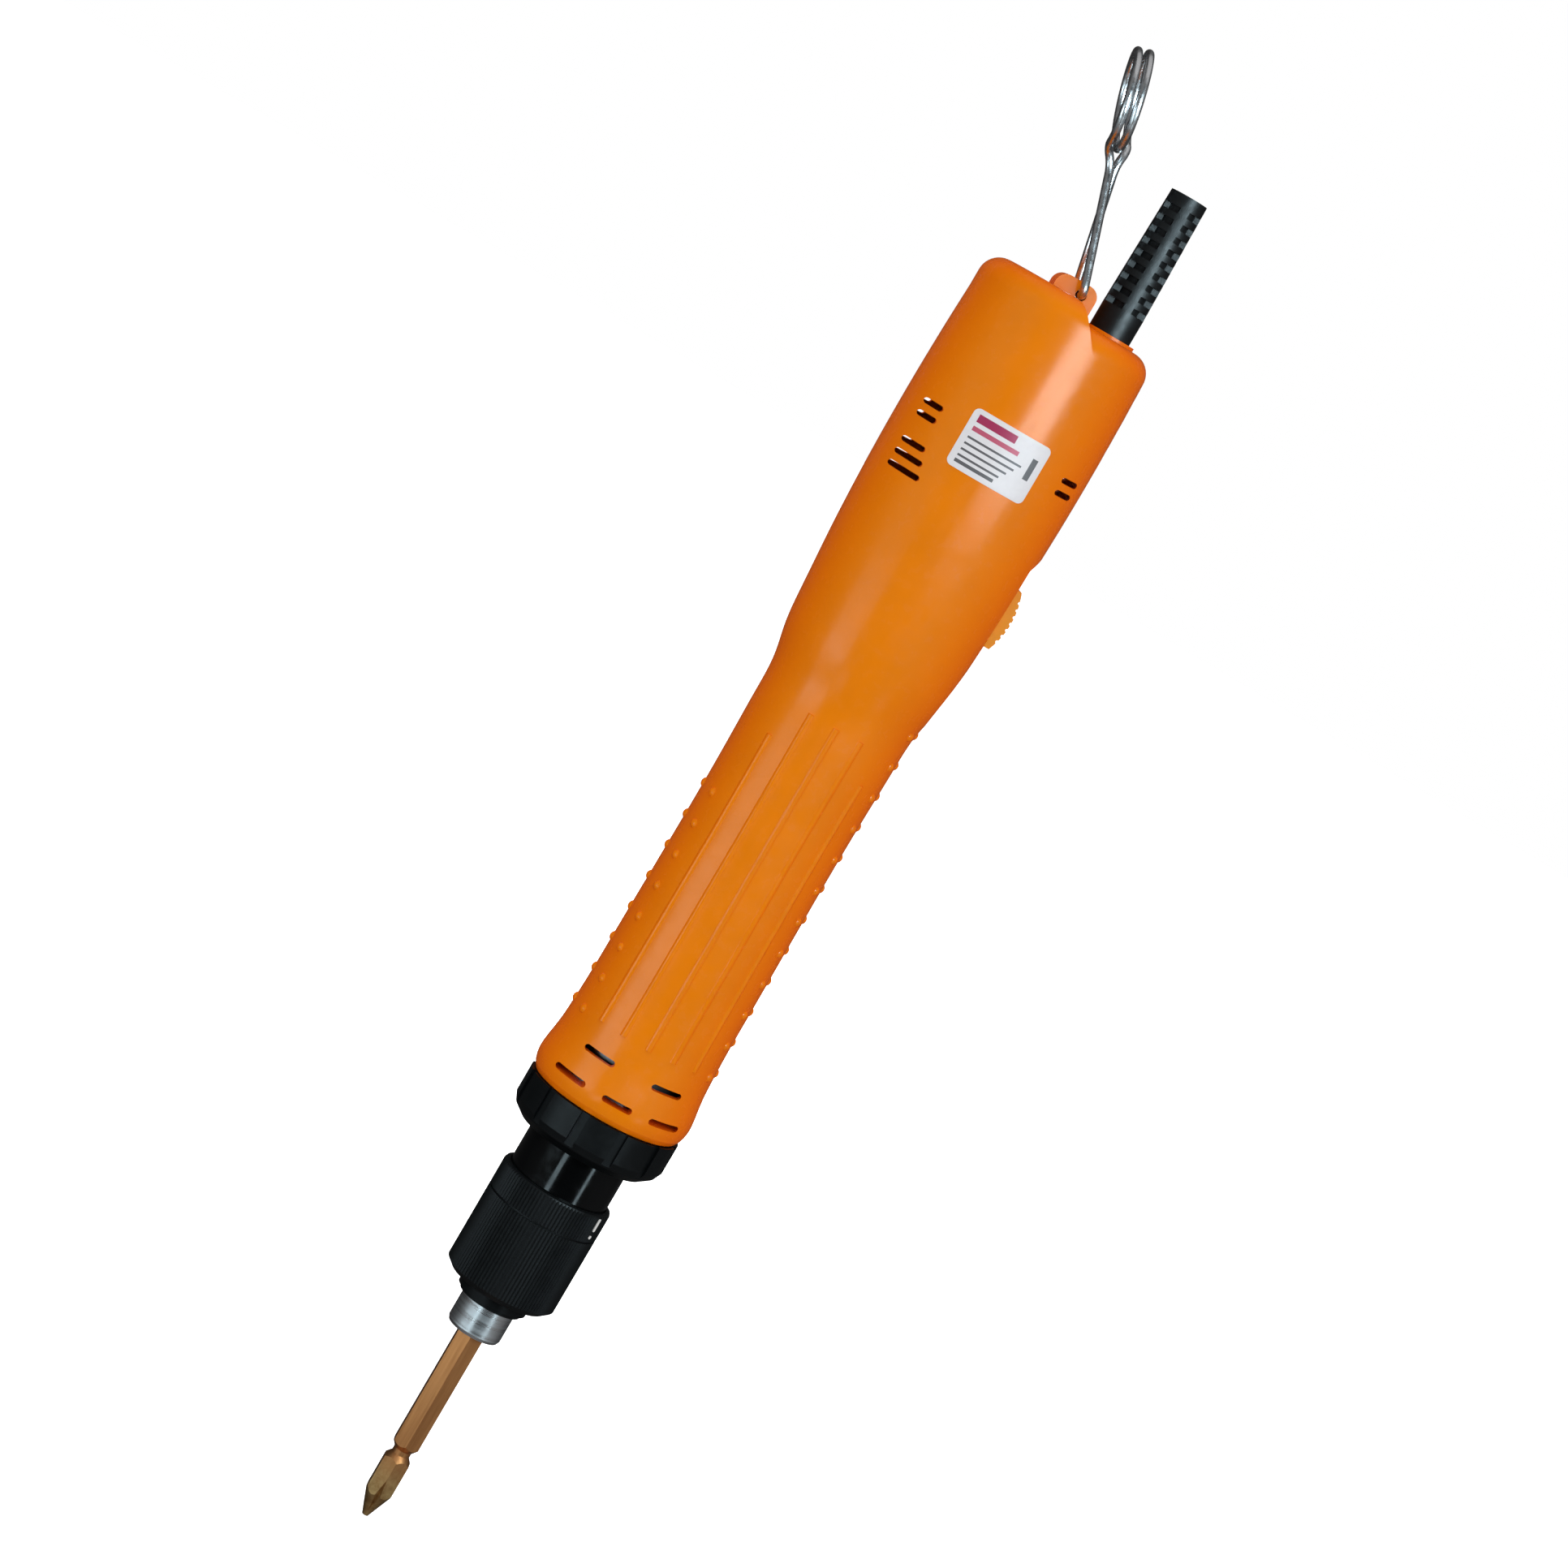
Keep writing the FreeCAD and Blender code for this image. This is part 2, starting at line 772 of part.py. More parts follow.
def make_ring_gear():
    """The ring gear of both stages, with dimples for the clutch balls."""
    bottom = clutch_plate_top + seat_gap
    blank = cylinder(ring_radius, bottom, gear_top)
    teeth = prism(tooth_outline(ring_teeth, ring_root, ring_tip, -tooth_backlash), bottom - overrun,
                  gear_top + overrun)
    dimple = Part.makeSphere(clutch_ball_radius + seat_gap, V(clutch_ball_circle, 0, clutch_ball_height))
    return blank.cut([teeth] + around_evenly(dimple, clutch_ball_count))


def make_output_carrier():
    """The output carrier: a hub that drives the spindle's tang, a disc and three pins."""
    hub = cylinder(drive_hub_radius, drive_hub_bottom, output_carrier_bottom)
    disc = cylinder(carrier_radius, output_carrier_bottom, output_carrier_top)
    pin = cylinder(pin_radius, output_carrier_top, output_planet_top, pin_circle)
    socket = hexagon(drive_socket_flats, drive_hub_bottom - overrun, output_carrier_top + overrun)
    return join(hub, disc, *around_evenly(pin, planet_count)).cut(socket)


def make_input_carrier():
    """The first stage's carrier, with the second stage's sun gear below it."""
    sun = gear(sun_teeth, output_planet_bottom, input_carrier_bottom)
    disc = cylinder(carrier_radius, input_carrier_bottom, input_carrier_top)
    pin = cylinder(pin_radius, input_carrier_top, input_planet_top, pin_circle)
    bore = cylinder(rod_bore, output_planet_bottom - overrun, input_carrier_top + overrun)
    return join(disc, sun, *around_evenly(pin, planet_count)).cut(bore)


def make_planet(bottom, top, place):
    """A planet gear on its pin, turned so that a gap faces the sun gear."""
    wheel = gear(planet_teeth, bottom, top)
    wheel = wheel.cut(cylinder(pin_radius + seat_gap, bottom - overrun, top + overrun))
    wheel.translate(V(pin_circle, 0, 0))
    return around(wheel, FULL_TURN * place / planet_count)


def knurled(bottom, top, radius):
    """A finely grooved round bar."""
    points = []
    for i in range(knob_knurl_count):
        angle = FULL_TURN * i / knob_knurl_count
        half = FULL_TURN / knob_knurl_count / 2
        points.append(polar(radius, angle))
        points.append(polar(radius - knob_knurl_depth, angle + half))
    return prism(points, bottom, top)


def make_knob():
    """The torque knob: threaded bore below, room for the clutch spring above."""
    blank = turned([
        (knob_bore, knob_bottom), (knob_radius - knob_chamfer_depth, knob_bottom),
        (knob_radius, knob_bottom + knob_chamfer_height), (knob_radius, scale_ring_bottom),
        (knob_cavity, scale_ring_bottom), (knob_cavity, thrust_height), (knob_bore, thrust_height),
    ])
    return blank.common(knurled(knob_bottom - overrun, scale_ring_bottom + overrun, knob_radius))


def make_scale_ring():
    """The scale ring on top of the knob, with a seam below and a rounded upper edge."""
    edge = scale_ring_top - scale_ring_round
    step = scale_ring_round * (1 - math.sqrt(0.5))
    blank = turned([
        (knob_cavity, scale_ring_bottom), (knob_radius - scale_ring_seam, scale_ring_bottom),
        (knob_radius - scale_ring_seam, scale_ring_bottom + scale_ring_seam),
        (knob_radius, scale_ring_bottom + scale_ring_seam), (knob_radius, edge),
        (knob_radius - step, scale_ring_top - step), (knob_radius - knob_skirt_wall / 2, scale_ring_top),
        (knob_cavity, scale_ring_top),
    ])
    return blank.common(knurled(scale_ring_bottom - overrun, scale_ring_top + overrun, knob_radius))


def make_ring_nut():
    """The ring nut that clamps the gear case to the casing's spigot."""
    lip_bore = neck_radius + nut_lip_gap
    blank = turned([
        (lip_bore, nut_bottom), (nut_radius - nut_chamfer_depth, nut_bottom),
        (nut_radius - nut_edge_depth, nut_bottom + nut_chamfer_height),
        (nut_radius, nut_bottom + nut_chamfer_height + nut_edge_height),
        (nut_radius, nut_top), (spigot_radius, nut_top),
        (spigot_radius, clamp_flange_bottom), (lip_bore, clamp_flange_bottom),
    ])
    groove = box(V(nut_radius - nut_groove_depth, -nut_groove_width / 2, nut_bottom - overrun),
                 V(nut_radius + overrun, nut_groove_width / 2, nut_top + overrun))
    half = HALF_TURN / nut_groove_count
    return blank.cut([around(shape, half) for shape in around_evenly(groove, nut_groove_count)])


def casing_profile(edges):
    """A solid turned from a chain of edges in the plane Y = 0."""
    wire = Part.Wire([edge.toShape() for edge in edges])
    return Part.Face(wire).revolve(V(0, 0, 0), Z_AXIS, FULL_TURN)


def crown_edges(bottom):
    """The rounded upper edge from a height, and the flat top in to the axis."""
    top = bottom + crown_round
    slant = crown_round * (1 - math.sqrt(0.5))
    flat = crown_radius - crown_round
    return [
        Part.Arc(V(crown_radius, 0, bottom), V(crown_radius - slant, 0, top - slant), V(flat, 0, top)),
        Part.LineSegment(V(flat, 0, top), V(0, 0, top)),
    ]


def casing_outer():
    """The casing's outer form: spigot, flowing side, low shelf for the boot and higher crown beside it."""
    points = outline_points(0)
    foot_radius, foot_height = points[0]
    corner = foot_radius - casing_edge
    crown_bottom = shelf_top - crown_round
    body = casing_profile([
        Part.LineSegment(V(0, 0, spigot_bottom), V(spigot_radius, 0, spigot_bottom)),
        Part.LineSegment(V(spigot_radius, 0, spigot_bottom), V(spigot_radius, 0, casing_bottom)),
        Part.LineSegment(V(spigot_radius, 0, casing_bottom), V(corner, 0, casing_bottom)),
        Part.LineSegment(V(corner, 0, casing_bottom), V(foot_radius, 0, foot_height)),
        side_curve(points),
        *crown_edges(crown_bottom),
        Part.LineSegment(V(0, 0, shelf_top), V(0, 0, spigot_bottom)),
    ])
    raised = casing_profile([
        Part.LineSegment(V(0, 0, crown_bottom), V(crown_radius, 0, crown_bottom)),
        Part.LineSegment(V(crown_radius, 0, crown_bottom), V(crown_radius, 0, casing_top - crown_round)),
        *crown_edges(casing_top - crown_round),
        Part.LineSegment(V(0, 0, casing_top), V(0, 0, crown_bottom)),
    ])
    return body.fuse([raised.cut(crown_step()), make_lug(), make_boot_rim()])


def crown_step():
    """The room cut away beside the crown: a sloping face, rounded off where it meets the crown's top."""
    beyond = 2 * head_radius
    slope = math.tan(math.radians(shelf_slope_angle))
    low = shelf_top - 2 * crown_round
    foot = V(shelf_start + slope * (shelf_top - low), -beyond, low)
    edge = V(shelf_start - slope * shelf_drop, -beyond, casing_top)
    high = casing_top + beyond
    corners = [
        foot, edge, V(-beyond, -beyond, casing_top), V(-beyond, -beyond, high),
        V(2 * beyond, -beyond, high), V(2 * beyond, -beyond, low), foot,
    ]
    room = Part.Face(Part.makePolygon(corners)).extrude(V(0, 2 * beyond, 0))
    ridge = [line for line in room.Edges if line.CenterOfMass.distanceToPoint(V(edge.x, 0, edge.z)) < overrun]
    return room.makeFillet(crown_edge_round, ridge)


def make_lug():
    """The rounded suspension lug on the crown, before its hole is cut."""
    left = lug_offset - lug_width / 2
    top = casing_top + lug_height
    half = lug_depth / 2
    lug = box(V(left, -half, shelf_top), V(left + lug_width, half, top))
    ridges = []
    for edge in lug.Edges:
        centre = edge.CenterOfMass
        if centre.z > casing_top and abs(centre.y) < half / 2:
            ridges.append(edge)
    return lug.makeFillet(lug_round, ridges)


def make_boot_rim():
    """The low rim round the boot's hole."""
    return cylinder(boot_rim_radius, shelf_top - crown_wall / 2, shelf_top + boot_rim_height, boot_offset)


def screw_places():
    """Places across X and along Z of the casing screws: a low pair, one by the crown, one below the clamp."""
    low = casing_height(low_screw_share)
    clamp_bottom = shelf_top - clamp_drop - clamp_width / 2
    shares = (
        (-low_screw_across_share, low), (low_screw_across_share, low),
        (-left_screw_across_share, casing_top - left_screw_drop),
        (right_screw_across_share, clamp_bottom - boss_radius - loose_gap),
    )
    places = []
    for across_share, height in shares:
        places.append((across_share * (side_radius(height) - casing_wall), height))
    return places


def recess_floor():
    """How far the flat under the direction switch lies from the axis."""
    return side_radius(switch_height) - switch_recess_depth


def board_half():
    """Half the circuit board's width, clear of the low screws' bosses."""
    low_across = low_screw_across_share * (side_radius(casing_height(low_screw_share)) - casing_wall)
    return low_across - boss_radius - board_side_gap


def board_posts():
    """Posts of the rear half that carry the circuit board."""
    posts = []
    for side in (-1, 1):
        for share in (board_post_low_share, board_post_high_share):
            height = between(board_bottom, board_top, share)
            across = side * (board_half() - board_post_inset)
            posts.append(cross_cylinder(board_post_radius, board_back, head_radius, across, height))
    return posts


def clamp_places():
    """Places across X of the two posts under the cord clamp."""
    return (boot_offset - clamp_post_spread, boot_offset + clamp_post_spread)


def casing_hollow():
    """The room inside the casing, less its seats, bosses and posts."""
    roof = shelf_top - crown_wall
    points = outline_points(casing_wall)[2:-1]
    points.append((crown_radius - casing_wall - crown_wall, roof))
    start_radius, start_height = points[0]
    bottom = spigot_bottom - overrun
    hollow = casing_profile([
        Part.LineSegment(V(0, 0, bottom), V(spigot_bore, 0, bottom)),
        Part.LineSegment(V(spigot_bore, 0, bottom), V(spigot_bore, 0, start_height)),
        Part.LineSegment(V(spigot_bore, 0, start_height), V(start_radius, 0, start_height)),
        side_curve(points),
        Part.LineSegment(V(points[-1][0], 0, roof), V(0, 0, roof)),
        Part.LineSegment(V(0, 0, roof), V(0, 0, bottom)),
    ])
    kept = []
    for share in motor_seat_shares:
        seat_bottom = casing_height(share)
        kept.append(ring(spigot_bore, head_radius, seat_bottom, seat_bottom + motor_seat_height))
    for across, height in screw_places():
        kept.append(cross_cylinder(boss_radius, -head_radius, head_radius, across, height))
    for across in clamp_places():
        kept.append(cross_cylinder(clamp_post_radius, 0, head_radius, across, shelf_top - clamp_drop))
    pad_half = switch_recess_length / 2 + casing_wall
    kept.append(box(V(recess_floor() - casing_wall, -slide_width, switch_height - pad_half),
                    V(head_radius, slide_width, switch_height + pad_half)))
    return hollow.cut(kept + board_posts())


def skin(inset, bottom, top):
    """A solid under the casing's side between two heights, drawn in by an inset."""
    points = outline_points(inset)
    first, last = points[0], points[-1]
    whole = casing_profile([
        Part.LineSegment(V(0, 0, first[1]), V(first[0], 0, first[1])),
        side_curve(points),
        Part.LineSegment(V(last[0], 0, last[1]), V(0, 0, last[1])),
        Part.LineSegment(V(0, 0, last[1]), V(0, 0, first[1])),
    ])
    return whole.common(cylinder(2 * head_radius, bottom, top))


def make_ribs():
    """Round-topped finger ribs on the front and rear of the grip, sunk so that only a low crown shows."""
    round_radius = (rib_width ** 2 / 4 + rib_height ** 2) / (2 * rib_height)
    curve = side_curve(outline_points(round_radius - rib_height))
    start = side_parameter(curve, casing_height(rib_bottom_share))
    ribs = []
    for i in range(rib_count):
        outer = i in (0, rib_count - 1)
        top = casing_height(outer_rib_top_share if outer else rib_top_share)
        path = Part.Wire(curve.toShape(start, side_parameter(curve, top)))
        bar = wire_tube(path, round_radius)
        turn = (i - (rib_count - 1) / 2) * rib_angle_step
        ribs += [around(bar, turn - QUARTER_TURN), around(bar, QUARTER_TURN - turn)]
    return ribs


def make_nubs():
    """Rounded nubs in three rows down each side of the grip."""
    sphere_radius = (nub_radius ** 2 + nub_height ** 2) / (2 * nub_height)
    nubs = []
    for side, count in ((HALF_TURN, left_nub_count), (0, right_nub_count)):
        for i in range(count):
            height = casing_height(nub_first_share) + i * nub_pitch
            circle = side_radius(height) + nub_height - sphere_radius
            for row in (-1, 0, 1):
                x, y = polar(circle, side + row * nub_row_angle)
                nubs.append(Part.makeSphere(sphere_radius, V(x, y, height)))
    return nubs


def vent(length, width, across, height):
    """A slot straight through both halves, with its middle at a place across X."""
    bar = stadium(length, width, -2 * head_radius, 2 * head_radius)
    bar.translate(V(across, 0, height))
    return bar


def make_vents():
    """All air slots: two rows at the foot, a pair on each side of the head and three below one pair."""
    low, high = casing_height(front_vent_low_share), casing_height(front_vent_high_share)
    low_across = front_vent_low_across_share * bead_radius
    high_across = front_vent_high_across_share * bead_radius
    slots = [vent(front_vent_length, front_vent_height, side * low_across, low) for side in (-1, 0, 1)]
    slots += [vent(front_vent_length, front_vent_height, side * high_across, high) for side in (-1, 1)]
    reach = rear_vent_reach_share * head_radius
    for step in (-0.5, 0.5):
        height = casing_height(rear_vent_pair_share) + step * rear_vent_pitch
        across = reach - rear_vent_length / 2
        slots += [vent(rear_vent_length, rear_vent_height, side * across, height) for side in (-1, 1)]
    for step in (-1, 0, 1):
        height = casing_height(rear_vent_trio_share) + step * rear_vent_pitch
        length = rear_vent_length + rear_vent_growth * (2 - step)
        slots.append(vent(length, rear_vent_height, length / 2 - reach, height))
    return slots


def switch_recess():
    """The finger scoop and the flat recess cut for the direction switch."""
    floor = recess_floor()
    flat_bottom = switch_height - switch_recess_length / 2
    flat_top = switch_height + switch_recess_length / 2
    scoop_bottom = flat_bottom - finger_scoop_length
    start = side_radius(scoop_bottom)
    scoop = []
    for along_share, rise_share in finger_scoop_shares:
        scoop.append((between(start, floor, rise_share), between(scoop_bottom, flat_bottom, along_share)))
    beyond = 2 * head_radius
    ramp_top = V(side_radius(flat_top + switch_ramp_length), 0, flat_top + switch_ramp_length)
    edges = [
        side_curve(scoop),
        Part.LineSegment(V(floor, 0, flat_bottom), V(floor, 0, flat_top)),
        Part.LineSegment(V(floor, 0, flat_top), ramp_top),
        Part.LineSegment(ramp_top, V(beyond, 0, ramp_top.z)),
        Part.LineSegment(V(beyond, 0, ramp_top.z), V(beyond, 0, scoop_bottom)),
        Part.LineSegment(V(beyond, 0, scoop_bottom), V(start, 0, scoop_bottom)),
    ]
    face = Part.Face(Part.Wire([edge.toShape() for edge in edges]))
    face.translate(V(0, -head_radius, 0))
    return face.extrude(V(0, 2 * head_radius, 0))


def casing_holes():
    """Holes for the boot, the bail, the switch stem and the screws."""
    hinge_z = casing_top + hinge_rise
    holes = [
        cylinder(boot_neck_radius + seat_gap, shelf_top - 2 * crown_wall, casing_top, boot_offset),
        cross_cylinder(bail_wire_radius + bail_hole_gap, -lug_depth, lug_depth, hinge_offset, hinge_z),
    ]
    slot_half = slide_stem_length / 2 + slide_travel + loose_gap
    stem_half = slide_stem_width / 2 + loose_gap
    holes.append(box(V(recess_floor() - 2 * casing_wall, -stem_half, switch_height - slot_half),
                     V(head_radius, stem_half, switch_height + slot_half)))
    head_hole = screw_head_radius + running_gap
    for across, height in screw_places():
        holes.append(cross_cylinder(screw_radius, -screw_bite, 0, across, height))
        holes.append(cross_cylinder(screw_radius + running_gap, 0, screw_head_seat, across, height))
        holes.append(cross_cylinder(head_hole, screw_head_seat, head_radius, across, height))
    return holes + clamp_pilots()


def clamp_pilots():
    """Pilot holes of the cord clamp's screws."""
    end = clamp_screw_bite - clamp_gap
    return [cross_cylinder(clamp_screw_radius, -clamp_gap - overrun, end, x, shelf_top - clamp_drop)
            for x in clamp_places()]


def clamp_stubs():
    """The ends of the clamp's posts that stand past the parting plane, open for their screws."""
    stubs = []
    for x in clamp_places():
        stub = cross_cylinder(clamp_post_radius, -clamp_gap, 0, x, shelf_top - clamp_drop)
        stubs.append(stub.cut(clamp_pilots()))
    return stubs


def make_casing_halves():
    """The two half shells, split on the parting plane."""
    grip = casing_outer().cut(switch_recess())
    whole = grip.fuse(make_ribs() + make_nubs()).cut([casing_hollow()] + make_vents() + casing_holes())
    beyond = 2 * head_radius
    low = spigot_bottom - overrun
    high = casing_top + beyond
    front = whole.common(box(V(-beyond, -beyond, low), V(beyond, 0, high)))
    rear = whole.common(box(V(-beyond, 0, low), V(beyond, beyond, high)))
    return front, join(rear, *clamp_stubs())


def make_screw(radius, cap_radius, cap_height, start, seat, x, z):
    """A pan-head screw along Y, from start to its head's seat, with a cross slot."""
    shank = cross_cylinder(radius, start, seat, x, z)
    head = cross_cylinder(cap_radius, seat, seat + cap_height, x, z)
    floor = seat + cap_height - screw_slot_depth
    half = screw_slot_width / 2
    reach = cap_radius - screw_slot_width
    top = seat + cap_height + overrun
    across = box(V(x - reach, floor, z - half), V(x + reach, top, z + half))
    upright = box(V(x - half, floor, z - reach), V(x + half, top, z + reach))
    return join(shank, head).cut([across, upright])


def casing_screws():
    """The screws that draw the two halves together from the rear."""
    screws = []
    for x, z in screw_places():
        screws.append(make_screw(screw_radius, screw_head_radius, screw_head_height, -screw_bite,
                                 screw_head_seat, x, z))
    return screws


def make_slide():
    """The direction switch's slide: a crowned pad with serrations on a short stem."""
    bottom = recess_floor() + loose_gap
    half = slide_length / 2
    crown = bottom + slide_crown
    shoulder = crown - slide_round
    low, high = switch_height - half, switch_height + half
    edges = [
        Part.LineSegment(V(bottom, 0, low), V(shoulder, 0, low)),
        Part.Arc(V(shoulder, 0, low), V(crown, 0, switch_height), V(shoulder, 0, high)),
        Part.LineSegment(V(shoulder, 0, high), V(bottom, 0, high)),
        Part.LineSegment(V(bottom, 0, high), V(bottom, 0, low)),
    ]
    face = Part.Face(Part.Wire([edge.toShape() for edge in edges]))
    face.translate(V(0, -slide_width / 2, 0))
    pad = face.extrude(V(0, slide_width, 0))
    curve_radius = (half ** 2 + slide_round ** 2) / (2 * slide_round)
    cuts = []
    for i in range(slide_serration_count):
        along = (i - (slide_serration_count - 1) / 2) * slide_serration_pitch
        surface = crown - curve_radius + math.sqrt(curve_radius ** 2 - along ** 2)
        height = switch_height + along
        cuts.append(cross_cylinder(slide_serration_depth, -slide_width, slide_width, surface, height))
    stem_half = slide_stem_length / 2
    stem_width = slide_stem_width / 2
    stem = box(V(recess_floor() - casing_wall + loose_gap, -stem_width, switch_height - stem_half),
               V(bottom, stem_width, switch_height + stem_half))
    return join(pad.cut(cuts), stem)


def make_switch_body():
    """The direction switch's body, seated under the casing's pad."""
    top = recess_floor() - casing_wall
    half_width = switch_body_width / 2
    half_length = switch_body_length / 2
    return box(V(top - switch_body_depth, -half_width, switch_height - half_length),
               V(top, half_width, switch_height + half_length))


def wedge(angle, bottom, top):
    """A prism that spans an angle about +X."""
    reach = 2 * head_radius
    steps = (-0.5, -0.25, 0, 0.25, 0.5)
    return prism([(0, 0)] + [polar(reach, angle * step) for step in steps], bottom, top)


def make_motor_front_plate():
    """The plate between gearing and motor, with the front bearing's housing."""
    boss = rotor_bearing_radius + plate_boss_wall
    hole = shaft_radius + plate_boss_wall
    return turned([
        (hole, gear_top), (motor_radius, gear_top), (motor_radius, plate_top), (boss, plate_top),
        (boss, front_bearing_top), (rotor_bearing_radius, front_bearing_top),
        (rotor_bearing_radius, front_bearing_bottom), (hole, front_bearing_bottom),
    ])


def make_motor_can():
    """The motor's steel can, with air windows at the fan."""
    tube = ring(can_bore, motor_radius, plate_top, can_top)
    bottom = plate_top + can_window_setback
    window = box(V(0, -can_window_width / 2, bottom),
                 V(2 * motor_radius, can_window_width / 2, bottom + can_window_height))
    return tube.cut(around_evenly(window, can_window_count))


def make_magnets():
    """The two field magnets inside the can."""
    shell = ring(magnet_bore, can_bore, core_bottom, core_top)
    arc = shell.common(wedge(magnet_angle, core_bottom - overrun, core_top + overrun))
    return around_evenly(arc, 2)


def brush_values():
    """Inner and outer end of a brush and its middle height."""
    start = commutator_radius + seat_gap
    end = can_bore - brush_box_wall - brush_box_gap
    return start, end, (commutator_bottom + commutator_top) / 2


def make_brushes():
    """The two carbon brushes on the commutator."""
    start, end, middle = brush_values()
    half = brush_width / 2
    brush = box(V(start, -half, middle - brush_height / 2), V(end, half, middle + brush_height / 2))
    return around_evenly(brush.cut(cylinder(start, commutator_bottom, commutator_top)), 2)


def make_rear_cap():
    """The motor's rear cap, with bearing housing and brush boxes."""
    boss = rotor_bearing_radius + plate_boss_wall
    hole = shaft_radius + plate_boss_wall
    seat = rear_bearing_top - bearing_race_height
    cap = turned([
        (hole, can_top), (motor_radius, can_top), (motor_radius, rear_plate_top), (boss, rear_plate_top),
        (boss, rear_bearing_top), (rotor_bearing_radius, rear_bearing_top),
        (rotor_bearing_radius, seat), (hole, seat),
    ])
    start, end, middle = brush_values()
    half = brush_width / 2
    low = middle - brush_height / 2
    block = box(V(start + air_gap, -half - brush_box_wall, low - brush_box_wall),
                V(end + brush_box_wall, half + brush_box_wall, can_top))
    cavity = box(V(0, -half, low), V(end, half, low + brush_height))
    return join(cap, *around_evenly(block.cut(cavity), 2))


def bearing_spans():
    """Bottom and top of the rotor's two bearings."""
    rear_bottom = rear_bearing_top - bearing_race_height
    return ((front_bearing_bottom, front_bearing_top), (rear_bottom, rear_bearing_top))


def bearing_outer_races():
    """The fixed races of the rotor's bearings."""
    inner = rotor_bearing_radius - rotor_bearing_race
    return [ring(inner, rotor_bearing_radius, bottom, top) for bottom, top in bearing_spans()]


def bearing_inner_races():
    """The races on the rotor's shaft."""
    outer = shaft_radius + rotor_bearing_race
    return [ring(shaft_radius, outer, bottom, top) for bottom, top in bearing_spans()]


def bearing_balls():
    """The balls between the races."""
    outer = rotor_bearing_radius - rotor_bearing_race
    inner = shaft_radius + rotor_bearing_race
    radius = (outer - inner) / 2 - seat_gap
    balls = []
    for bottom, top in bearing_spans():
        ball = Part.makeSphere(radius, V((outer + inner) / 2, 0, (bottom + top) / 2))
        balls += around_evenly(ball, rotor_ball_count)
    return balls


def make_rotor_shaft():
    """The hollow rotor shaft with the first stage's sun gear at its front."""
    sun = gear(sun_teeth, input_planet_bottom, gear_top)
    shaft = cylinder(shaft_radius, gear_top, shaft_top)
    return join(sun, shaft).cut(cylinder(rod_bore, input_planet_bottom - overrun, shaft_top + overrun))


def core_slot(gap):
    """A winding slot of the armature core, made smaller by a gap."""
    half = core_slot_width / 2 - gap
    return box(V(core_slot_floor + gap, -half, core_bottom - overrun),
               V(core_radius + overrun, half, core_top + overrun))


def make_armature_core():
    """The slotted armature core."""
    blank = ring(shaft_radius, core_radius, core_bottom, core_top)
    return blank.cut(around_evenly(core_slot(0), core_slot_count))


def make_windings():
    """The armature's windings: bars in the slots joined by end turns."""
    fill_radius = core_radius - core_tooth_lip
    filled = ring(core_slot_floor, fill_radius, core_bottom, core_top)
    bars = [slot.common(filled) for slot in around_evenly(core_slot(seat_gap), core_slot_count)]
    ends = []
    for near, far in ((core_bottom, front_winding_bottom), (core_top, rear_winding_top)):
        bulge = between(near, far, winding_bulge_share)
        taper = between(core_slot_floor, fill_radius, winding_taper_share)
        ends.append(turned([
            (core_slot_floor, near), (fill_radius, near), (fill_radius, bulge), (taper, far),
            (core_slot_floor, far),
        ]))
    return join(ends[0], ends[1], *bars)


def make_commutator():
    """The commutator with its slots between bars."""
    blank = ring(shaft_radius, commutator_radius, commutator_bottom, commutator_top)
    half = commutator_slot_width / 2
    slot = box(V(commutator_radius - commutator_slot_depth, -half, commutator_bottom - overrun),
               V(2 * commutator_radius, half, commutator_top + overrun))
    return blank.cut(around_evenly(slot, commutator_bar_count))


def make_fan():
    """The cooling fan: hub, back disc and radial blades."""
    hub = shaft_radius + fan_hub_wall
    disc = turned([
        (shaft_radius, fan_bottom), (hub, fan_bottom), (hub, fan_top - fan_blade_thickness),
        (fan_radius, fan_top - fan_blade_thickness), (fan_radius, fan_top), (shaft_radius, fan_top),
    ])
    half = fan_blade_thickness / 2
    blade = box(V(hub - half, -half, fan_bottom), V(fan_radius - half, half, fan_top - half))
    return join(disc, *around_evenly(blade, fan_blade_count))


def make_push_rod():
    """The push rod through the rotor, with the collar under the start spring."""
    return turned([
        (0, drive_tang_top), (rod_radius, drive_tang_top), (rod_radius, rod_collar_bottom),
        (rod_collar_radius, rod_collar_bottom), (rod_collar_radius, rod_collar_top),
        (rod_radius, rod_collar_top), (rod_radius, rod_top), (0, rod_top),
    ])


def make_start_switch():
    """The start switch's block on the circuit board."""
    half_width = switch_block_width / 2
    half_depth = switch_block_depth / 2
    return box(V(-half_width, -half_depth, switch_block_bottom),
               V(half_width, half_depth, switch_block_top))


def make_board():
    """The circuit board behind the motor."""
    half = board_half()
    return box(V(-half, board_front, board_bottom), V(half, board_back, board_top))


def board_components():
    """Choke, two capacitors and a relay on the board's front."""
    heights = [between(board_bottom, board_top, share) for share in component_shares]
    half = choke_size / 2
    blocks = [box(V(-half, board_front - choke_size, height - half), V(half, board_front, height + half))
              for height in (heights[0], heights[2])]
    spread = capacitor_radius + running_gap
    cans = [cross_cylinder(capacitor_radius, board_front - capacitor_height, board_front, x, heights[1])
            for x in (-spread, spread)]
    return blocks + cans


def motor_leads():
    """The two leads from the motor's rear cap to the board."""
    y = board_front - lead_radius
    places = (-lead_offset, lead_offset)
    return [cylinder(lead_radius, rear_plate_top, switch_block_bottom, x, y) for x in places]


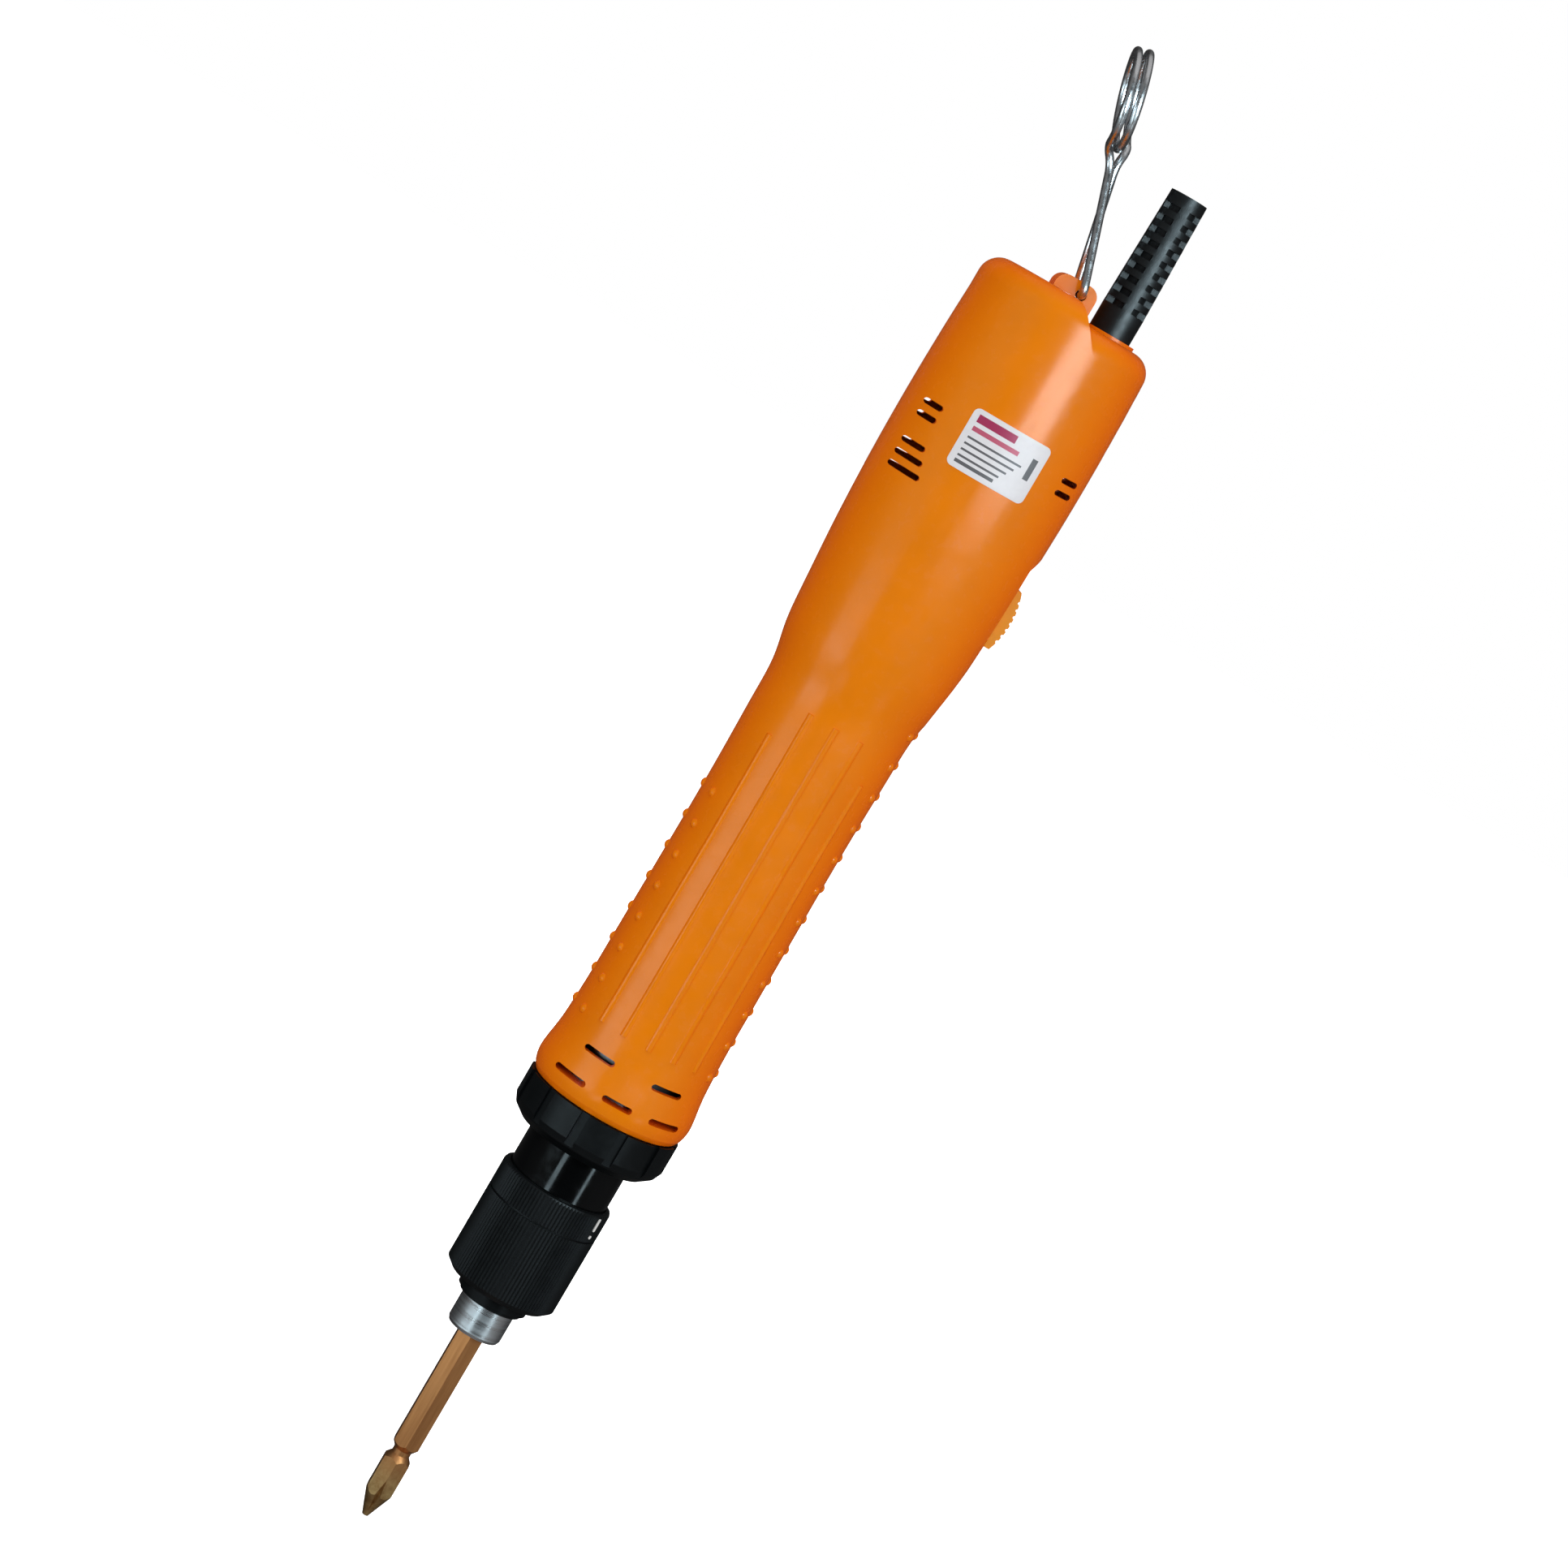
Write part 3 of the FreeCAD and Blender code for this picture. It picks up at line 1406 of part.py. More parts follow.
def make_boot():
    """The strain-relief boot: flange, neck and slotted tapering sleeve with an open bore."""
    flange_top = shelf_top - crown_wall
    flange_bottom = flange_top - boot_flange_height
    flange = boot_neck_radius + boot_flange_rim
    base = shelf_top + boot_rim_height
    top = base + boot_length
    body = turned([
        (boot_bore_radius, flange_bottom), (flange, flange_bottom), (flange, flange_top),
        (boot_neck_radius, flange_top), (boot_neck_radius, base), (boot_base_radius, base),
        (boot_base_radius, base + boot_plain_base), (boot_tip_radius, top), (boot_bore_radius, top),
    ])
    half_spine = boot_spine_width / 2
    spine = box(V(0, -half_spine, base), V(2 * boot_base_radius, half_spine, top))
    spines = around_evenly(spine, boot_slot_count)
    slots = []
    slot_floor = boot_tip_radius - boot_slot_depth
    for i in range(boot_slot_rows):
        bottom = base + boot_plain_base + i * boot_slot_pitch
        slots.append(ring(slot_floor, 2 * boot_base_radius, bottom, bottom + boot_slot_height))
    boot = body.cut(Part.makeCompound(slots).cut(spines))
    boot.translate(V(boot_offset, 0, 0))
    return boot


def make_cord_clamp():
    """The cord clamp's bar on its two posts."""
    height = shelf_top - clamp_drop
    bar = box(V(boot_offset - clamp_length / 2, -clamp_gap - clamp_thickness, height - clamp_width / 2),
              V(boot_offset + clamp_length / 2, -clamp_gap, height + clamp_width / 2))
    holes = [cross_cylinder(clamp_screw_radius, -clamp_gap - 2 * clamp_thickness, 0, x, height)
             for x in clamp_places()]
    return bar.cut(holes)


def clamp_screws():
    """The screws of the cord clamp, with their heads to the front."""
    height = shelf_top - clamp_drop
    screws = []
    for x in clamp_places():
        screw = make_screw(clamp_screw_radius, clamp_head_radius, clamp_head_height,
                           clamp_gap - clamp_screw_bite, clamp_gap + clamp_thickness, x, height)
        screws.append(screw.mirror(V(0, 0, 0), Y_AXIS))
    return screws


def make_label():
    """The thin label plate on the front of the head, with rounded corners."""
    height = casing_height(label_share)
    half_width = label_width / 2
    half_height = label_height / 2
    plate = box(V(-half_width, -2 * head_radius, height - half_height),
                V(half_width, 0, height + half_height))
    corners = [edge for edge in plate.Edges if abs(edge.Length - 2 * head_radius) < overrun]
    window = plate.makeFillet(label_round, corners)
    low, high = height - label_height, height + label_height
    cover = skin(-label_thickness, low, high).cut(skin(0, low - overrun, high + overrun))
    return window.common(cover)


def bail_stations():
    """Points and directions along the bail's wire, from one end in the lug round to the other."""
    hinge = V(hinge_offset, 0, casing_top + hinge_rise)
    lean = math.radians(bail_lean)
    across = V(0, -1, 0)
    up = V(-math.sin(lean), 0, math.cos(lean))
    out = across.cross(up)

    def place(a, b, c):
        return hinge + across * a + up * b + out * c

    def way(a, b, c):
        return (across * a + up * b + out * c).normalize()

    neck_rise = bail_ring_rise - bail_ring_radius - bail_neck_drop
    foot = V(-bail_leg_spread, bail_leg_bend, 0)
    neck = V(-bail_neck_spread, neck_rise, -bail_neck_share * bail_ring_pitch)
    leg = (neck - foot).normalize()
    bend_start = bail_leg_spread - bail_leg_bend
    first = [
        (V(-bail_end_gap / 2, 0, 0), V(-1, 0, 0)), (V(-bend_start, 0, 0), V(-1, 0, 0)),
        (foot, leg), (neck, leg),
    ]
    total = FULL_TURN * bail_turns - 2 * bail_ring_start
    steps = 4 * bail_turns
    turns = []
    for i in range(steps + 1):
        angle = math.radians(bail_ring_start + total * i / steps)
        a = -bail_ring_radius * math.sin(angle)
        b = bail_ring_rise - bail_ring_radius * math.cos(angle)
        c = bail_ring_pitch * (2 * i / steps - 1)
        slope = 2 * bail_ring_pitch / (math.radians(total) * bail_ring_radius)
        turns.append((V(a, b, c), V(-math.cos(angle), math.sin(angle), slope)))
    last = [(V(-p.x, p.y, -p.z), V(t.x, -t.y, t.z)) for p, t in reversed(first)]
    stations = first + turns + last
    return [(place(p.x, p.y, p.z), way(t.x, t.y, t.z)) for p, t in stations]


def least_gap(path, radius, skip):
    """The least gap between stretches of a wire that are further apart along it than skip."""
    points = []
    along = 0
    for edge in path.Edges:
        first, last = edge.FirstParameter, edge.LastParameter
        for i in range(gap_sample_count):
            share = i / gap_sample_count
            points.append((along + share * edge.Length, edge.valueAt(between(first, last, share))))
        along += edge.Length
    gaps = [p.distanceToPoint(q) for s, p in points for t, q in points if t - s > skip]
    return min(gaps) - 2 * radius


def make_bail():
    """The suspension bail: two legs and a ring of two turns in one wire."""
    path = wire_path(bail_stations())
    gap = least_gap(path, bail_wire_radius, math.pi * bail_ring_radius)
    print(f"bail: least gap between turns {gap:.2f} mm")
    return wire_tube(path, bail_wire_radius)


def make_thrust_washer():
    """The washer that the knob lifts against the clutch spring."""
    return ring(washer_bore, washer_radius, thrust_height, thrust_height + thrust_washer_thickness)


def make_pressure_washer():
    """The washer that presses the clutch balls into the ring gear."""
    bottom = clutch_plate_bottom - pressure_washer_thickness
    return ring(washer_bore, washer_radius, bottom, clutch_plate_bottom)


def make_clutch_spring():
    """The clutch spring between the knob's thrust washer and the pressure washer."""
    room = knob_cavity - tube_radius
    wire = clutch_wire_share * room / 2
    middle = (knob_cavity + tube_radius) / 2
    return coil(middle, wire, thrust_height + thrust_washer_thickness,
                clutch_plate_bottom - pressure_washer_thickness, clutch_spring_turns)


def make_sleeve_spring():
    """The spring that holds the chuck sleeve up against its stop."""
    wire = sleeve_spring_room / 2 - 2 * running_gap
    middle = (spindle_radius + sleeve_relief) / 2
    return coil(middle, wire, clip_top, sleeve_shoulder, sleeve_spring_turns)


def make_start_spring():
    """The spring that returns the push rod."""
    middle = rod_radius + running_gap + start_spring_wire
    return coil(middle, start_spring_wire, rod_collar_top, switch_block_bottom, start_spring_turns)


def main():
    """Builds and writes every piece."""
    os.makedirs("parts", exist_ok=True)
    front, rear = make_casing_halves()
    save("casing_front_half", front)
    save("casing_rear_half", rear)
    save("casing_screws", *casing_screws())
    save("rating_plate", make_label())
    save("ring_nut", make_ring_nut())
    save("gear_case", make_gear_case())
    save("front_bush", make_front_bush())
    save("spindle_bearing", ring(spindle_radius + seat_gap, tube_bore, bearing_bottom, bearing_top))
    save("bit", make_bit())
    save("spindle", make_spindle())
    save("chuck_balls", *[Part.makeSphere(chuck_ball_radius, place) for place in chuck_ball_places()])
    save("chuck_clip", ring(clip_groove_radius, sleeve_relief - running_gap, clip_bottom, clip_top))
    save("chuck_sleeve", make_sleeve())
    save("sleeve_spring", make_sleeve_spring())
    save("torque_knob", make_knob())
    save("torque_scale_ring", make_scale_ring())
    save("thrust_washer", make_thrust_washer())
    save("clutch_spring", make_clutch_spring())
    save("pressure_washer", make_pressure_washer())
    ball = Part.makeSphere(clutch_ball_radius, V(clutch_ball_circle, 0, clutch_ball_height))
    save("clutch_balls", *around_evenly(ball, clutch_ball_count))
    save("ring_gear", make_ring_gear())
    save("output_carrier", make_output_carrier())
    save("input_carrier", make_input_carrier())
    for place, letter in zip(range(planet_count), "abc"):
        save(f"output_planet_{letter}", make_planet(output_planet_bottom, output_planet_top, place))
        save(f"input_planet_{letter}", make_planet(input_planet_bottom, input_planet_top, place))
    save("motor_front_plate", make_motor_front_plate())
    save("motor_can", make_motor_can())
    save("motor_magnets", *make_magnets())
    save("motor_rear_cap", make_rear_cap())
    save("carbon_brushes", *make_brushes())
    save("bearing_outer_races", *bearing_outer_races())
    save("bearing_inner_races", *bearing_inner_races())
    save("bearing_balls", *bearing_balls())
    save("rotor_shaft", make_rotor_shaft())
    save("armature_core", make_armature_core())
    save("armature_windings", make_windings())
    save("commutator", make_commutator())
    save("cooling_fan", make_fan())
    save("push_rod", make_push_rod())
    save("start_spring", make_start_spring())
    save("start_switch", make_start_switch())
    save("circuit_board", make_board())
    save("board_components", *board_components())
    save("motor_leads", *motor_leads())
    save("direction_slide", make_slide())
    save("direction_switch_body", make_switch_body())
    save("strain_relief_boot", make_boot())
    save("cord_clamp", make_cord_clamp())
    save("clamp_screws", *clamp_screws())
    save("suspension_bail", make_bail())


main()
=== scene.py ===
"""Looks of the inline electric screwdriver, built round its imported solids."""
import bpy
import json
import math
from mathutils import Matrix, Vector

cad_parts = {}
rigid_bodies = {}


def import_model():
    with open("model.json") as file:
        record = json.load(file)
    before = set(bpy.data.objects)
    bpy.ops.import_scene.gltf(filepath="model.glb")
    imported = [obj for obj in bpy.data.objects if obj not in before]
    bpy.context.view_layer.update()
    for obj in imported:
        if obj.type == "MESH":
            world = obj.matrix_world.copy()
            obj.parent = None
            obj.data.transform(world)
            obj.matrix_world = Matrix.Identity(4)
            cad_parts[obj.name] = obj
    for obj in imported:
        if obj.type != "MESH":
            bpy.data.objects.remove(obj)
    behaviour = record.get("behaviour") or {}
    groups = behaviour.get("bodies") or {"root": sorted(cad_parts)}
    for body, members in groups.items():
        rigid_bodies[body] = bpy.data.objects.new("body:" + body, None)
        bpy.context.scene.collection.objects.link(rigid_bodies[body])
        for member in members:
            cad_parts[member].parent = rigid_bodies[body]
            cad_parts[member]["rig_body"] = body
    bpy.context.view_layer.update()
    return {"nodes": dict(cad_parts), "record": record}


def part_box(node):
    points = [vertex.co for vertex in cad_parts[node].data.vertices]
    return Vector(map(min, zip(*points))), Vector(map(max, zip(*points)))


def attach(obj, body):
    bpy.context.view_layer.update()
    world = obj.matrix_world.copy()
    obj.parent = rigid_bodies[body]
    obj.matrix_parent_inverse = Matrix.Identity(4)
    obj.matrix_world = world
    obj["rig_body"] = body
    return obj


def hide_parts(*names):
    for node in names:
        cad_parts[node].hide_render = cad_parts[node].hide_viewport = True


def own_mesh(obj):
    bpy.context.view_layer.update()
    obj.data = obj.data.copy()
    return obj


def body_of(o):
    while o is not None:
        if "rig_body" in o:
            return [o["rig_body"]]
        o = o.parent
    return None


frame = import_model()
nodes = frame["nodes"]
MM = 0.001

# The part of a noise texture's range that its values fill
NOISE_LOW, NOISE_HIGH = 0.3, 0.7


class Shader:
    """A principled material with a few short ways to build its texture nodes."""

    def __init__(self, name, **values):
        self.material = bpy.data.materials.new(name)
        self.material.use_nodes = True
        self.tree = self.material.node_tree
        self.surface = self.tree.nodes["Principled BSDF"]
        self.place = self.node("ShaderNodeTexCoord").outputs["Object"]
        for socket, value in values.items():
            self.surface.inputs[socket.replace("_", " ")].default_value = value

    def node(self, kind, **values):
        made = self.tree.nodes.new(kind)
        for key, value in values.items():
            setattr(made, key, value)
        return made

    def link(self, output, socket):
        self.tree.links.new(output, socket)

    def stretched(self, x, y, z):
        """Object coordinates scaled along each axis."""
        mapping = self.node("ShaderNodeMapping")
        mapping.inputs["Scale"].default_value = (x, y, z)
        self.link(self.place, mapping.inputs["Vector"])
        return mapping.outputs["Vector"]

    def noise(self, size_mm, detail, place=None, roughness=0.5):
        """Noise whose features are about size_mm across."""
        made = self.node("ShaderNodeTexNoise")
        made.inputs["Scale"].default_value = 1 / (size_mm * MM)
        made.inputs["Detail"].default_value = detail
        made.inputs["Roughness"].default_value = roughness
        self.link(place or self.place, made.inputs["Vector"])
        return made.outputs["Fac"]

    def spread(self, value, low, high, to_low, to_high):
        """A value mapped from one range to another."""
        made = self.node("ShaderNodeMapRange")
        for i, number in enumerate((low, high, to_low, to_high), 1):
            made.inputs[i].default_value = number
        self.link(value, made.inputs[0])
        return made.outputs[0]

    def math(self, operation, first, second, third=0.0):
        """The result of one operation on values, each a number or an output."""
        made = self.node("ShaderNodeMath", operation=operation)
        for i, value in enumerate((first, second, third)):
            if hasattr(value, "is_linked"):
                self.link(value, made.inputs[i])
            else:
                made.inputs[i].default_value = value
        return made.outputs[0]

    def mix(self, share, first, second):
        """A colour between two, each a colour or an output."""
        made = self.node("ShaderNodeMix", data_type="RGBA")
        self.link(share, made.inputs[0])
        for socket, value in ((made.inputs[6], first), (made.inputs[7], second)):
            if hasattr(value, "is_linked"):
                self.link(value, socket)
            else:
                socket.default_value = (*value, 1)
        return made.outputs[2]

    def colour(self, output):
        self.link(output, self.surface.inputs["Base Color"])

    def rough(self, value, low, high):
        spread = self.spread(value, NOISE_LOW, NOISE_HIGH, low, high)
        self.link(spread, self.surface.inputs["Roughness"])

    def bump(self, height, depth_mm):
        made = self.node("ShaderNodeBump")
        made.inputs["Strength"].default_value = 1
        made.inputs["Distance"].default_value = depth_mm * MM
        self.link(height, made.inputs["Height"])
        self.link(made.outputs["Normal"], self.surface.inputs["Normal"])


def shaded(colour, factor):
    return tuple(channel * factor for channel in colour)


CLOUD_MM = 9
SHEEN_MM = 2.4
SHEEN_BELOW, SHEEN_ABOVE = 0.05, 0.06
# How far the surface turns away from the view before the painted edge shade begins and where it is full
SHADED_EDGE_FROM, SHADED_EDGE_TO = 0.10, 0.75


def moulded(name, colour, rough, grain_mm, grain_depth_mm, mottle, shaded_edge=None, **values):
    """Moulded plastic with slight mottling, uneven sheen and a fine grain.

    With an edge colour, the colour turns towards it where the surface turns away from the view: painted
    shade, the redder tone of shaded edges.
    """
    shader = Shader(name, **values)
    cloud = shader.spread(shader.noise(CLOUD_MM, detail=4), NOISE_LOW, NOISE_HIGH, 0, 1)
    tint = shader.mix(cloud, shaded(colour, 1 - mottle), shaded(colour, 1 + mottle))
    if shaded_edge:
        # Painted shade: the colour turns redder where the surface turns away from the view
        turned = shader.node("ShaderNodeLayerWeight").outputs["Facing"]
        tint = shader.mix(shader.spread(turned, SHADED_EDGE_FROM, SHADED_EDGE_TO, 0, 1), tint, shaded_edge)
    shader.colour(tint)
    shader.rough(shader.noise(SHEEN_MM, detail=4), rough - SHEEN_BELOW, rough + SHEEN_ABOVE)
    shader.bump(shader.noise(grain_mm, detail=2), grain_depth_mm)
    return shader


STREAK_ROUGHNESS = 0.6
POLISH_PER_STREAK = 2
POLISH_BELOW, POLISH_ABOVE = 0.06, 0.1


def drawn(name, colour, rough, stretch, streak_mm, streak_depth_mm, mottle=0.12):
    """Metal with streaks along one direction, from drawing, turning or grinding."""
    shader = Shader(name, Metallic=1.0)
    lines = shader.noise(streak_mm, detail=4, place=shader.stretched(*stretch), roughness=STREAK_ROUGHNESS)
    shader.colour(shader.mix(lines, shaded(colour, 1 - mottle), shaded(colour, 1 + mottle)))
    polish = shader.noise(streak_mm * POLISH_PER_STREAK, detail=3, place=shader.stretched(*stretch))
    shader.rough(polish, rough - POLISH_BELOW, rough + POLISH_ABOVE)
    shader.bump(lines, streak_depth_mm)
    return shader


ALONG = (1, 1, 0.03)
ROUND = (0.03, 0.03, 1)
EVEN = (1, 1, 1)

BIT_MIDDLE = 0.041
BIT_SHANK_HALF, BIT_POINT_HALF = 0.0235, 0.033
SHANK_DARK, SHANK_LIGHT = (0.43, 0.165, 0.056), (0.64, 0.285, 0.108)
POINT_DARK, POINT_LIGHT = (0.34, 0.17, 0.060), (0.62, 0.40, 0.17)
STAIN_LOW, STAIN_HIGH = 0.35, 0.65


def bit_shader():
    """Bronze-coated steel that goes from brown on the shank to olive gold at the points."""
    shader = Shader("bit_bronze", Metallic=1.0)
    height = shader.node("ShaderNodeSeparateXYZ")
    shader.link(shader.place, height.inputs[0])
    off_middle = shader.math("SUBTRACT", height.outputs["Z"], BIT_MIDDLE)
    from_middle = shader.math("ABSOLUTE", off_middle, 0.0)
    near_point = shader.spread(from_middle, BIT_SHANK_HALF, BIT_POINT_HALF, 0, 1)
    lines = shader.noise(size_mm=0.5, detail=4, place=shader.stretched(*ALONG), roughness=STREAK_ROUGHNESS)
    spots = shader.noise(size_mm=3.2, detail=5, roughness=0.65)
    stains = shader.spread(spots, STAIN_LOW, STAIN_HIGH, 0, 1)
    shank = shader.mix(lines, SHANK_DARK, SHANK_LIGHT)
    point = shader.mix(stains, POINT_DARK, POINT_LIGHT)
    shader.colour(shader.mix(near_point, shank, point))
    shader.rough(lines, low=0.32, high=0.44)
    shader.bump(lines, depth_mm=0.012)
    return shader


PRINT_LEFT = -8.4
BAND_RIGHT = 1.4
RULE_COUNT = 4
RULE_TOP, RULE_HEIGHT, RULE_STEP = 0.6, 0.5, 1.5
RULE_RIGHT, RULE_SHORTENING = 5.4, 1.1
PAPER_DARK, PAPER_LIGHT = (0.70, 0.70, 0.73), (0.78, 0.78, 0.81)
RULE_INK = (0.12, 0.12, 0.13)
BAND_INK = (0.36, 0.03, 0.10)
THIN_INK = (0.50, 0.10, 0.17)


def label_shader():
    """A white sticker with a colour band, a thinner band and a few plain rules, in millimetres."""
    shader = Shader("label_white", Specular_IOR_Level=0.12)
    parts = shader.node("ShaderNodeSeparateXYZ")
    shader.link(shader.place, parts.inputs[0])
    low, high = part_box("rating_plate")
    middle_x, middle_z = (low.x + high.x) / 2, (low.z + high.z) / 2
    x = shader.math("SUBTRACT", parts.outputs["X"], middle_x)
    z = shader.math("SUBTRACT", parts.outputs["Z"], middle_z)
    paper = shader.mix(shader.noise(size_mm=1.4, detail=3), PAPER_DARK, PAPER_LIGHT)

    def bar(left, right, bottom, top):
        across = shader.math("COMPARE", x, (left + right) / 2 * MM, (right - left) / 2 * MM)
        along = shader.math("COMPARE", z, (bottom + top) / 2 * MM, (top - bottom) / 2 * MM)
        return shader.math("MULTIPLY", across, along)

    def rule(i):
        top = RULE_TOP - RULE_STEP * i
        return bar(PRINT_LEFT, RULE_RIGHT - RULE_SHORTENING * i, top - RULE_HEIGHT, top)

    rules = rule(0)
    others = [rule(i) for i in range(1, RULE_COUNT)]
    others.append(bar(PRINT_LEFT, BAND_RIGHT, bottom=-5.9, top=-5.1))
    others.append(bar(left=6.9, right=8.3, bottom=-1.8, top=3.4))
    for other in others:
        rules = shader.math("MAXIMUM", rules, other)
    inked = shader.mix(rules, paper, RULE_INK)
    inked = shader.mix(bar(PRINT_LEFT, BAND_RIGHT, bottom=4.1, top=6.0), inked, BAND_INK)
    inked = shader.mix(bar(PRINT_LEFT, right=3.4, bottom=2.0, top=3.1), inked, THIN_INK)
    shader.colour(inked)
    shader.rough(shader.noise(size_mm=1.2, detail=3), low=0.34, high=0.46)
    shader.bump(shader.noise(size_mm=0.25, detail=2), depth_mm=0.004)
    return shader


COPPER_DARK, COPPER_LIGHT = (0.28, 0.09, 0.03), (0.62, 0.25, 0.09)
WIRE_STRETCH = (1, 1, 0.12)


def wound_shader():
    """Enamelled copper windings: wires seen as fine cross ridges."""
    shader = Shader("copper_wire", Metallic=0.8)
    wires = shader.noise(size_mm=0.45, detail=2, place=shader.stretched(*WIRE_STRETCH))
    shader.colour(shader.mix(wires, COPPER_DARK, COPPER_LIGHT))
    shader.rough(wires, low=0.25, high=0.42)
    shader.bump(wires, depth_mm=0.06)
    return shader


BOARD_GREEN, TRACK_GREEN = (0.012, 0.085, 0.03), (0.03, 0.17, 0.06)
TRACK_STRETCH = (1, 1, 0.25)
TRACK_LOW, TRACK_HIGH = 0.5, 0.52


def board_shader():
    """A green circuit board with faint tracks."""
    shader = Shader("board_green", Coat_Weight=0.2)
    paths = shader.noise(size_mm=2.0, detail=1, place=shader.stretched(*TRACK_STRETCH))
    tracks = shader.spread(paths, TRACK_LOW, TRACK_HIGH, 0, 1)
    shader.colour(shader.mix(tracks, BOARD_GREEN, TRACK_GREEN))
    shader.rough(shader.noise(size_mm=3, detail=2), low=0.32, high=0.45)
    shader.bump(tracks, depth_mm=0.02)
    return shader


ORANGE = (0.79, 0.207, 0.0008)
# Painted shade: the redder orange of the casing's edges where they turn away from the view
SHADED_EDGE_ORANGE = (0.88, 0.150, 0.0012)
LIGHT_ORANGE = (0.80, 0.305, 0.004)
BLACK = (0.0040, 0.0050, 0.0056)
NECK_BLACK = (0.0020, 0.0025, 0.0028)
INNER_BLACK = (0.02, 0.02, 0.021)
CARBON = (0.018, 0.018, 0.02)
FERRITE = (0.05, 0.05, 0.052)
RED = (0.36, 0.015, 0.012)
MARK_WHITE = (0.78, 0.78, 0.76)
STEEL = (0.56, 0.56, 0.57)
WIRE_STEEL = (0.52, 0.52, 0.53)
SPRING_STEEL = (0.42, 0.42, 0.44)
BALL_STEEL = (0.66, 0.66, 0.67)
GEAR_STEEL = (0.33, 0.33, 0.35)
# Steel of the motor can, darkened beyond plain steel as painted shade for the inside of the casing seen
# through the slots
SHADED_CAN_STEEL = (0.14, 0.14, 0.145)
DARK_STEEL = (0.20, 0.20, 0.21)
ALUMINIUM = (0.30, 0.30, 0.31)
BRONZE = (0.52, 0.32, 0.14)
COPPER = (0.62, 0.27, 0.12)

looks = {
    moulded("casing_orange", ORANGE, rough=0.24, grain_mm=0.35, grain_depth_mm=0.008, mottle=0.03,
            shaded_edge=SHADED_EDGE_ORANGE, Specular_IOR_Level=0.10):
        ("casing_front_half", "casing_rear_half"),
    moulded("slide_orange", LIGHT_ORANGE, rough=0.34, grain_mm=0.3, grain_depth_mm=0.010, mottle=0.035,
            Specular_IOR_Level=0.06):
        ("direction_slide",),
    moulded("knob_black", BLACK, rough=0.40, grain_mm=0.22, grain_depth_mm=0.012, mottle=0.16,
            Specular_IOR_Level=0.11):
        ("torque_knob", "torque_scale_ring"),
    moulded("nut_black", BLACK, rough=0.34, grain_mm=0.3, grain_depth_mm=0.008, mottle=0.14,
            Specular_IOR_Level=0.10):
        ("ring_nut", "front_bush"),
    moulded("neck_black", NECK_BLACK, rough=0.12, grain_mm=0.5, grain_depth_mm=0.002, mottle=0.1,
            Specular_IOR_Level=0.14):
        ("gear_case",),
    moulded("boot_rubber", BLACK, rough=0.42, grain_mm=0.25, grain_depth_mm=0.02, mottle=0.2,
            Specular_IOR_Level=0.2):
        ("strain_relief_boot",),
    moulded("inner_black", INNER_BLACK, rough=0.45, grain_mm=0.3, grain_depth_mm=0.02, mottle=0.15):
        ("motor_rear_cap", "cooling_fan", "start_switch", "direction_switch_body", "board_components",
         "cord_clamp"),
    moulded("carbon", CARBON, rough=0.55, grain_mm=0.15, grain_depth_mm=0.02, mottle=0.3):
        ("carbon_brushes",),
    moulded("magnet_ferrite", FERRITE, rough=0.6, grain_mm=0.2, grain_depth_mm=0.03, mottle=0.25):
        ("motor_magnets",),
    moulded("lead_red", RED, rough=0.4, grain_mm=0.3, grain_depth_mm=0.01, mottle=0.1):
        ("motor_leads",),
    drawn("sleeve_steel", STEEL, rough=0.29, stretch=ROUND, streak_mm=0.3, streak_depth_mm=0.0004,
          mottle=0.05):
        ("chuck_sleeve", "spindle", "chuck_clip"),
    drawn("bail_steel", WIRE_STEEL, rough=0.26, stretch=EVEN, streak_mm=0.6, streak_depth_mm=0.0015):
        ("suspension_bail",),
    drawn("spring_steel", SPRING_STEEL, rough=0.3, stretch=EVEN, streak_mm=0.5, streak_depth_mm=0.006):
        ("sleeve_spring", "clutch_spring", "start_spring"),
    drawn("ball_steel", BALL_STEEL, rough=0.14, stretch=EVEN, streak_mm=1.0, streak_depth_mm=0.002):
        ("chuck_balls", "clutch_balls", "bearing_balls", "bearing_inner_races", "bearing_outer_races"),
    drawn("gear_steel", GEAR_STEEL, rough=0.34, stretch=ROUND, streak_mm=0.3, streak_depth_mm=0.006):
        ("ring_gear", "input_carrier", "output_carrier", "input_planet_a", "input_planet_b",
         "input_planet_c", "output_planet_a", "output_planet_b", "output_planet_c", "rotor_shaft",
         "push_rod", "thrust_washer", "pressure_washer"),
    drawn("bush_bronze", BRONZE, rough=0.34, stretch=ROUND, streak_mm=0.3, streak_depth_mm=0.006):
        ("spindle_bearing",),
    drawn("motor_steel", SHADED_CAN_STEEL, rough=0.36, stretch=ROUND, streak_mm=0.8, streak_depth_mm=0.006):
        ("motor_can",),
    drawn("plate_aluminium", ALUMINIUM, rough=0.36, stretch=ROUND, streak_mm=0.4, streak_depth_mm=0.006):
        ("motor_front_plate",),
    drawn("core_steel", DARK_STEEL, rough=0.42, stretch=ROUND, streak_mm=0.5, streak_depth_mm=0.02):
        ("armature_core",),
    drawn("commutator_copper", COPPER, rough=0.3, stretch=ROUND, streak_mm=0.3, streak_depth_mm=0.006):
        ("commutator",),
    drawn("screw_steel", DARK_STEEL, rough=0.36, stretch=EVEN, streak_mm=0.4, streak_depth_mm=0.008):
        ("casing_screws", "clamp_screws"),
    bit_shader(): ("bit",),
    label_shader(): ("rating_plate",),
    wound_shader(): ("armature_windings",),
    board_shader(): ("circuit_board",),
}
